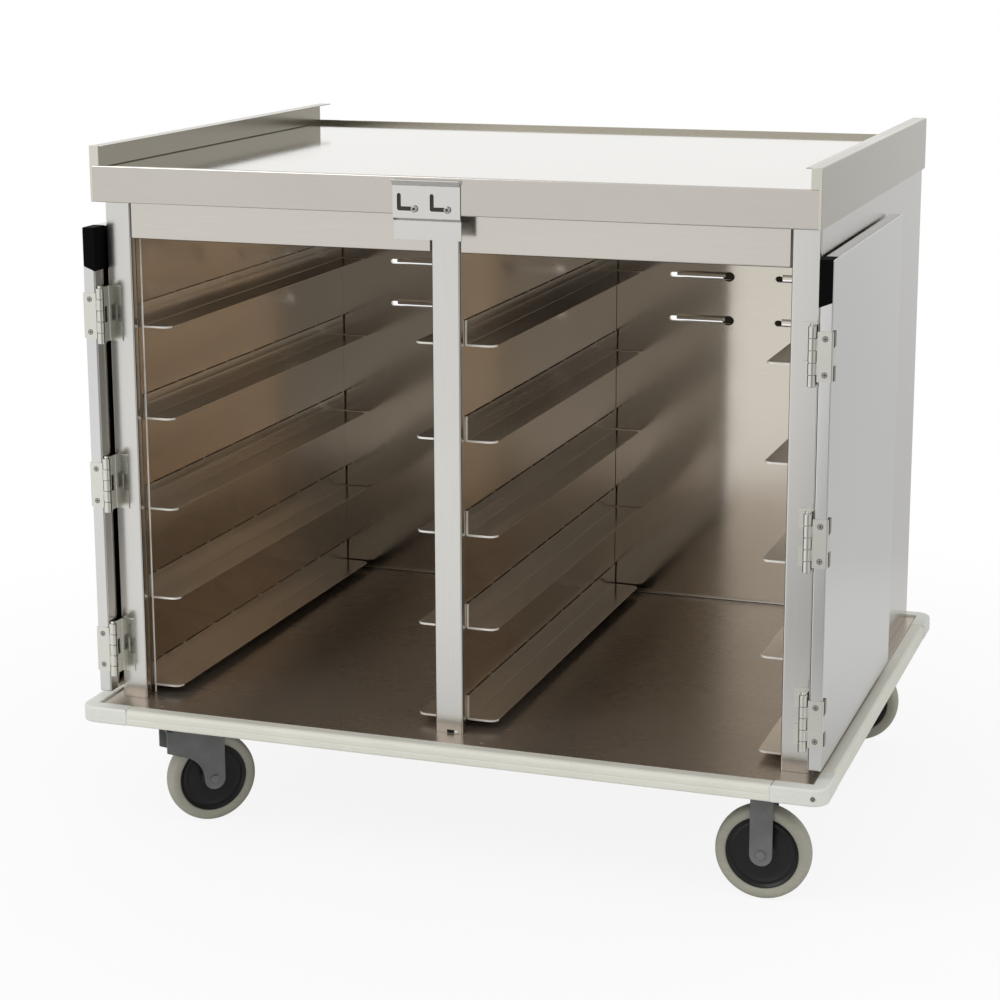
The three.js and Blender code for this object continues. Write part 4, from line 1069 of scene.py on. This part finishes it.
for side, flip in (("right", Matrix.Identity(4)), ("left", mirror_x)):
    for level, height in HINGE_LEVELS.items():
        tag, door = f"{side}_{level}", f"door_{side}"
        for master, name, look, slot, body, node in (
            (bracket, "bracket", hinge_steel, HINGE_STEEL, "root", f"hinge_bracket_{tag}"),
            (leaf, "leaf", hinge_steel, HINGE_STEEL, door, f"hinge_leaf_{tag}"),
            (leaf_heads, "leaf_screws", screw_steel, HINGE_STEEL, door, None),
            (leaf_pads, "leaf_pads", pad_steel, HINGE_STEEL, door, None),
            (leaf_sockets, "leaf_screw_sockets", recess_shade, None, door, None),
        ):
            place = flip @ Matrix.Translation((0, 0, height * MM))
            copied = placed(f"{name}_{tag}", master.data.copy(), place)
            fitted(copied, look, body, node)
for master in (bracket, leaf, leaf_pads, leaf_heads, leaf_sockets):
    bpy.data.objects.remove(master)

# ---------------- casters
# Six-inch plate casters. The two on the left swivel and the two on the right are rigid. Grey
# non-marking treads are moulded on black dished centres, and the forks are zinc-grey pressings.
PLATE_HALF, PLATE_FOOT, PLATE_HEAD, PLATE_CORNER = 50.0, 186.7, 190.7, 9.0
BOLTS, BOLT_HEAD = (-38.0, 38.0), [(ON_AXIS, 0.5), (6.5, 0.5), (6.5, -4.2), (5.4, -5.0), (ON_AXIS, -5.0)]
RACE, RACE_NECK, RACE_FOOT, WHEEL_Z, WHEEL_RADIUS = 31.0, 28.5, 178.7, 75.833, 75.8
LEG_IN, LEG_OUT, FORK_HALF, TRAIL, AXLE, NUT = 19.5, 22.5, 18.0, 38.0, 5.0, 8.6
CROWN_TOP, CROWN_BACK, CROWN_SKIRT, CROWN_SWEEP, CROWN_SHEET, CUP = 172.0, 44.0, 39.0, 48.0, 3.0, 35.0
zinc = painted("zinc_grey", (0.18, 0.18, 0.18), 0.45, 0.3)
tread_grey = vinyl_look("tread_grey", (0.42, 0.41, 0.335), 0.6, 0.14)
hub_black = vinyl_look("hub_black", (0.009, 0.008, 0.008), 0.4, 0.3, sheen=0.36)


def leg_pair(outline):
    """The two cheeks of a fork."""
    return [pushed("y", span, outline) for span in ((-LEG_OUT, -LEG_IN), (LEG_IN, LEG_OUT))]


def plate_parts():
    """The bolted top plate with its four bolt heads."""
    outline = rectangle((-PLATE_HALF, -PLATE_HALF), (PLATE_HALF, PLATE_HALF), radius=PLATE_CORNER)
    hexagon = [(radius, PLATE_FOOT + rise) for radius, rise in BOLT_HEAD]
    bolts = [turned("z", (x, y), hexagon, 6) for x in BOLTS for y in BOLTS]
    return [pushed("z", (PLATE_FOOT, PLATE_HEAD), outline), *bolts]


def axle_parts(x):
    """The axle through both cheeks, with a nut and a bolt head outside."""
    end = LEG_OUT + 1
    parts = [turned("y", (x, WHEEL_Z), [(ON_AXIS, -end), (AXLE, -end), (AXLE, end), (ON_AXIS, end)], 20)]
    head = [(ON_AXIS, LEG_OUT - 0.5), (NUT, LEG_OUT - 0.5), (NUT, LEG_OUT + 2.2)]
    head += [(NUT - 1.2, LEG_OUT + 3.2), (ON_AXIS, LEG_OUT + 3.4)]
    return parts + [turned("y", (x, WHEEL_Z), [(r, sign * y) for r, y in head], 6) for sign in (-1, 1)]


swivel_outline = [
    (-CROWN_BACK, CROWN_TOP),
    (-CROWN_BACK, CROWN_TOP - CROWN_SKIRT),
    *arc((TRAIL - FORK_HALF - CROWN_SWEEP, WHEEL_Z), CROWN_SWEEP, 75, 0, 12),
    *arc((TRAIL, WHEEL_Z), FORK_HALF, 180, 360, 18),
    (TRAIL + FORK_HALF, CROWN_TOP),
]
rigid_foot, leg_head = arc((0, WHEEL_Z), FORK_HALF, 180, 360, 18), PLATE_FOOT + 1.0
rigid_outline = [(-FORK_HALF, leg_head), *rigid_foot, (FORK_HALF, leg_head)]
race = [(ON_AXIS, PLATE_FOOT + 1), (RACE, PLATE_FOOT + 1), (RACE, 183.0), (RACE_NECK, 181.2)]
race += [(RACE_NECK, RACE_FOOT), (ON_AXIS, RACE_FOOT)]
crown = rectangle((-CROWN_BACK, -LEG_OUT), (TRAIL + FORK_HALF, LEG_OUT), radius=3.0)
cup = [(ON_AXIS, CROWN_TOP - 1), (CUP - 4, CROWN_TOP - 1), (CUP - 1, CROWN_TOP + 1.2)]
cup += [(CUP, CROWN_TOP + 3.4), (CUP, RACE_FOOT - 0.3), (ON_AXIS, RACE_FOOT - 0.3)]

# The wheel's two sections, from the hub's bore outwards on one side and mirrored on the other.
HUB_EDGE = 57.5
tread_half = [(HUB_EDGE + 0.2, 12.0), (HUB_EDGE + 1.0, 13.6), (60.5, 14.9), (65.0, 15.7), (69.0, 15.7)]
tread_half += [(72.0, 14.4), (74.3, 11.4), (75.4, 7.0), (WHEEL_RADIUS, 2.4)]
hub_half = [(5.6, 19.0), (12.5, 19.0), (14.5, 18.2), (16.0, 12.0), (19.0, 9.2), (24.0, 8.4), (38.0, 8.8)]
hub_half += [(44.0, 9.4), (46.0, 10.6), (48.0, 10.8), (50.0, 9.8), (52.0, 9.6), (54.0, 11.0)]
hub_half += [(56.5, 12.6), (HUB_EDGE + 0.1, 12.6)]
tread_section, hub_section = with_mirror(tread_half, 1, -1), with_mirror(hub_half, 1, -1)

SWIVELS_X, RIGIDS_X = -478.0, 507.0
for tag, x, swivel in (
    ("front_left", SWIVELS_X, 45.0),
    ("rear_left", SWIVELS_X, 30.0),
    ("front_right", RIGIDS_X, None),
    ("rear_right", RIGIDS_X, None),
):
    row = tag.split("_")[0]
    stand = Matrix.Translation((x * MM, CASTER_ROWS[row] * MM, 0))
    form = {"place": stand, "edge": 0.5}
    wheel_x = 0.0
    if swivel is None:
        parts, node = [*plate_parts(), *leg_pair(rigid_outline), *axle_parts(0.0)], f"rigid_fork_{tag}"
        piece(f"{node}_pressing", parts, zinc, "zinc_steel", stands_for=node, **form)
    else:
        parts, node = [*plate_parts(), turned("z", (0, 0), race, 48)], f"caster_plate_{tag}"
        piece(f"{node}_pressing", parts, zinc, "zinc_steel", stands_for=node, **form)
        stand = stand @ Matrix.Rotation(math.radians(swivel), 4, "Z")
        form["place"], wheel_x = stand, TRAIL
        parts = [pushed("z", (CROWN_TOP - CROWN_SHEET, CROWN_TOP), crown), turned("z", (0, 0), cup, 48)]
        parts += [*leg_pair(swivel_outline), *axle_parts(TRAIL)]
        node = f"swivel_fork_{tag}"
        piece(f"{node}_pressing", parts, zinc, "zinc_steel", f"swivel_{row}", node, **form)
    axle, body = (wheel_x, WHEEL_Z), f"wheel_{tag}"
    tread = turned("y", axle, tread_section, 96, ring=True)
    piece(f"tread_{tag}", [tread], tread_grey, "grey_tread", body, body, place=stand)
    hub = turned("y", axle, hub_section, 72, ring=True)
    piece(f"hub_{tag}", [hub], hub_black, None, body, place=stand)
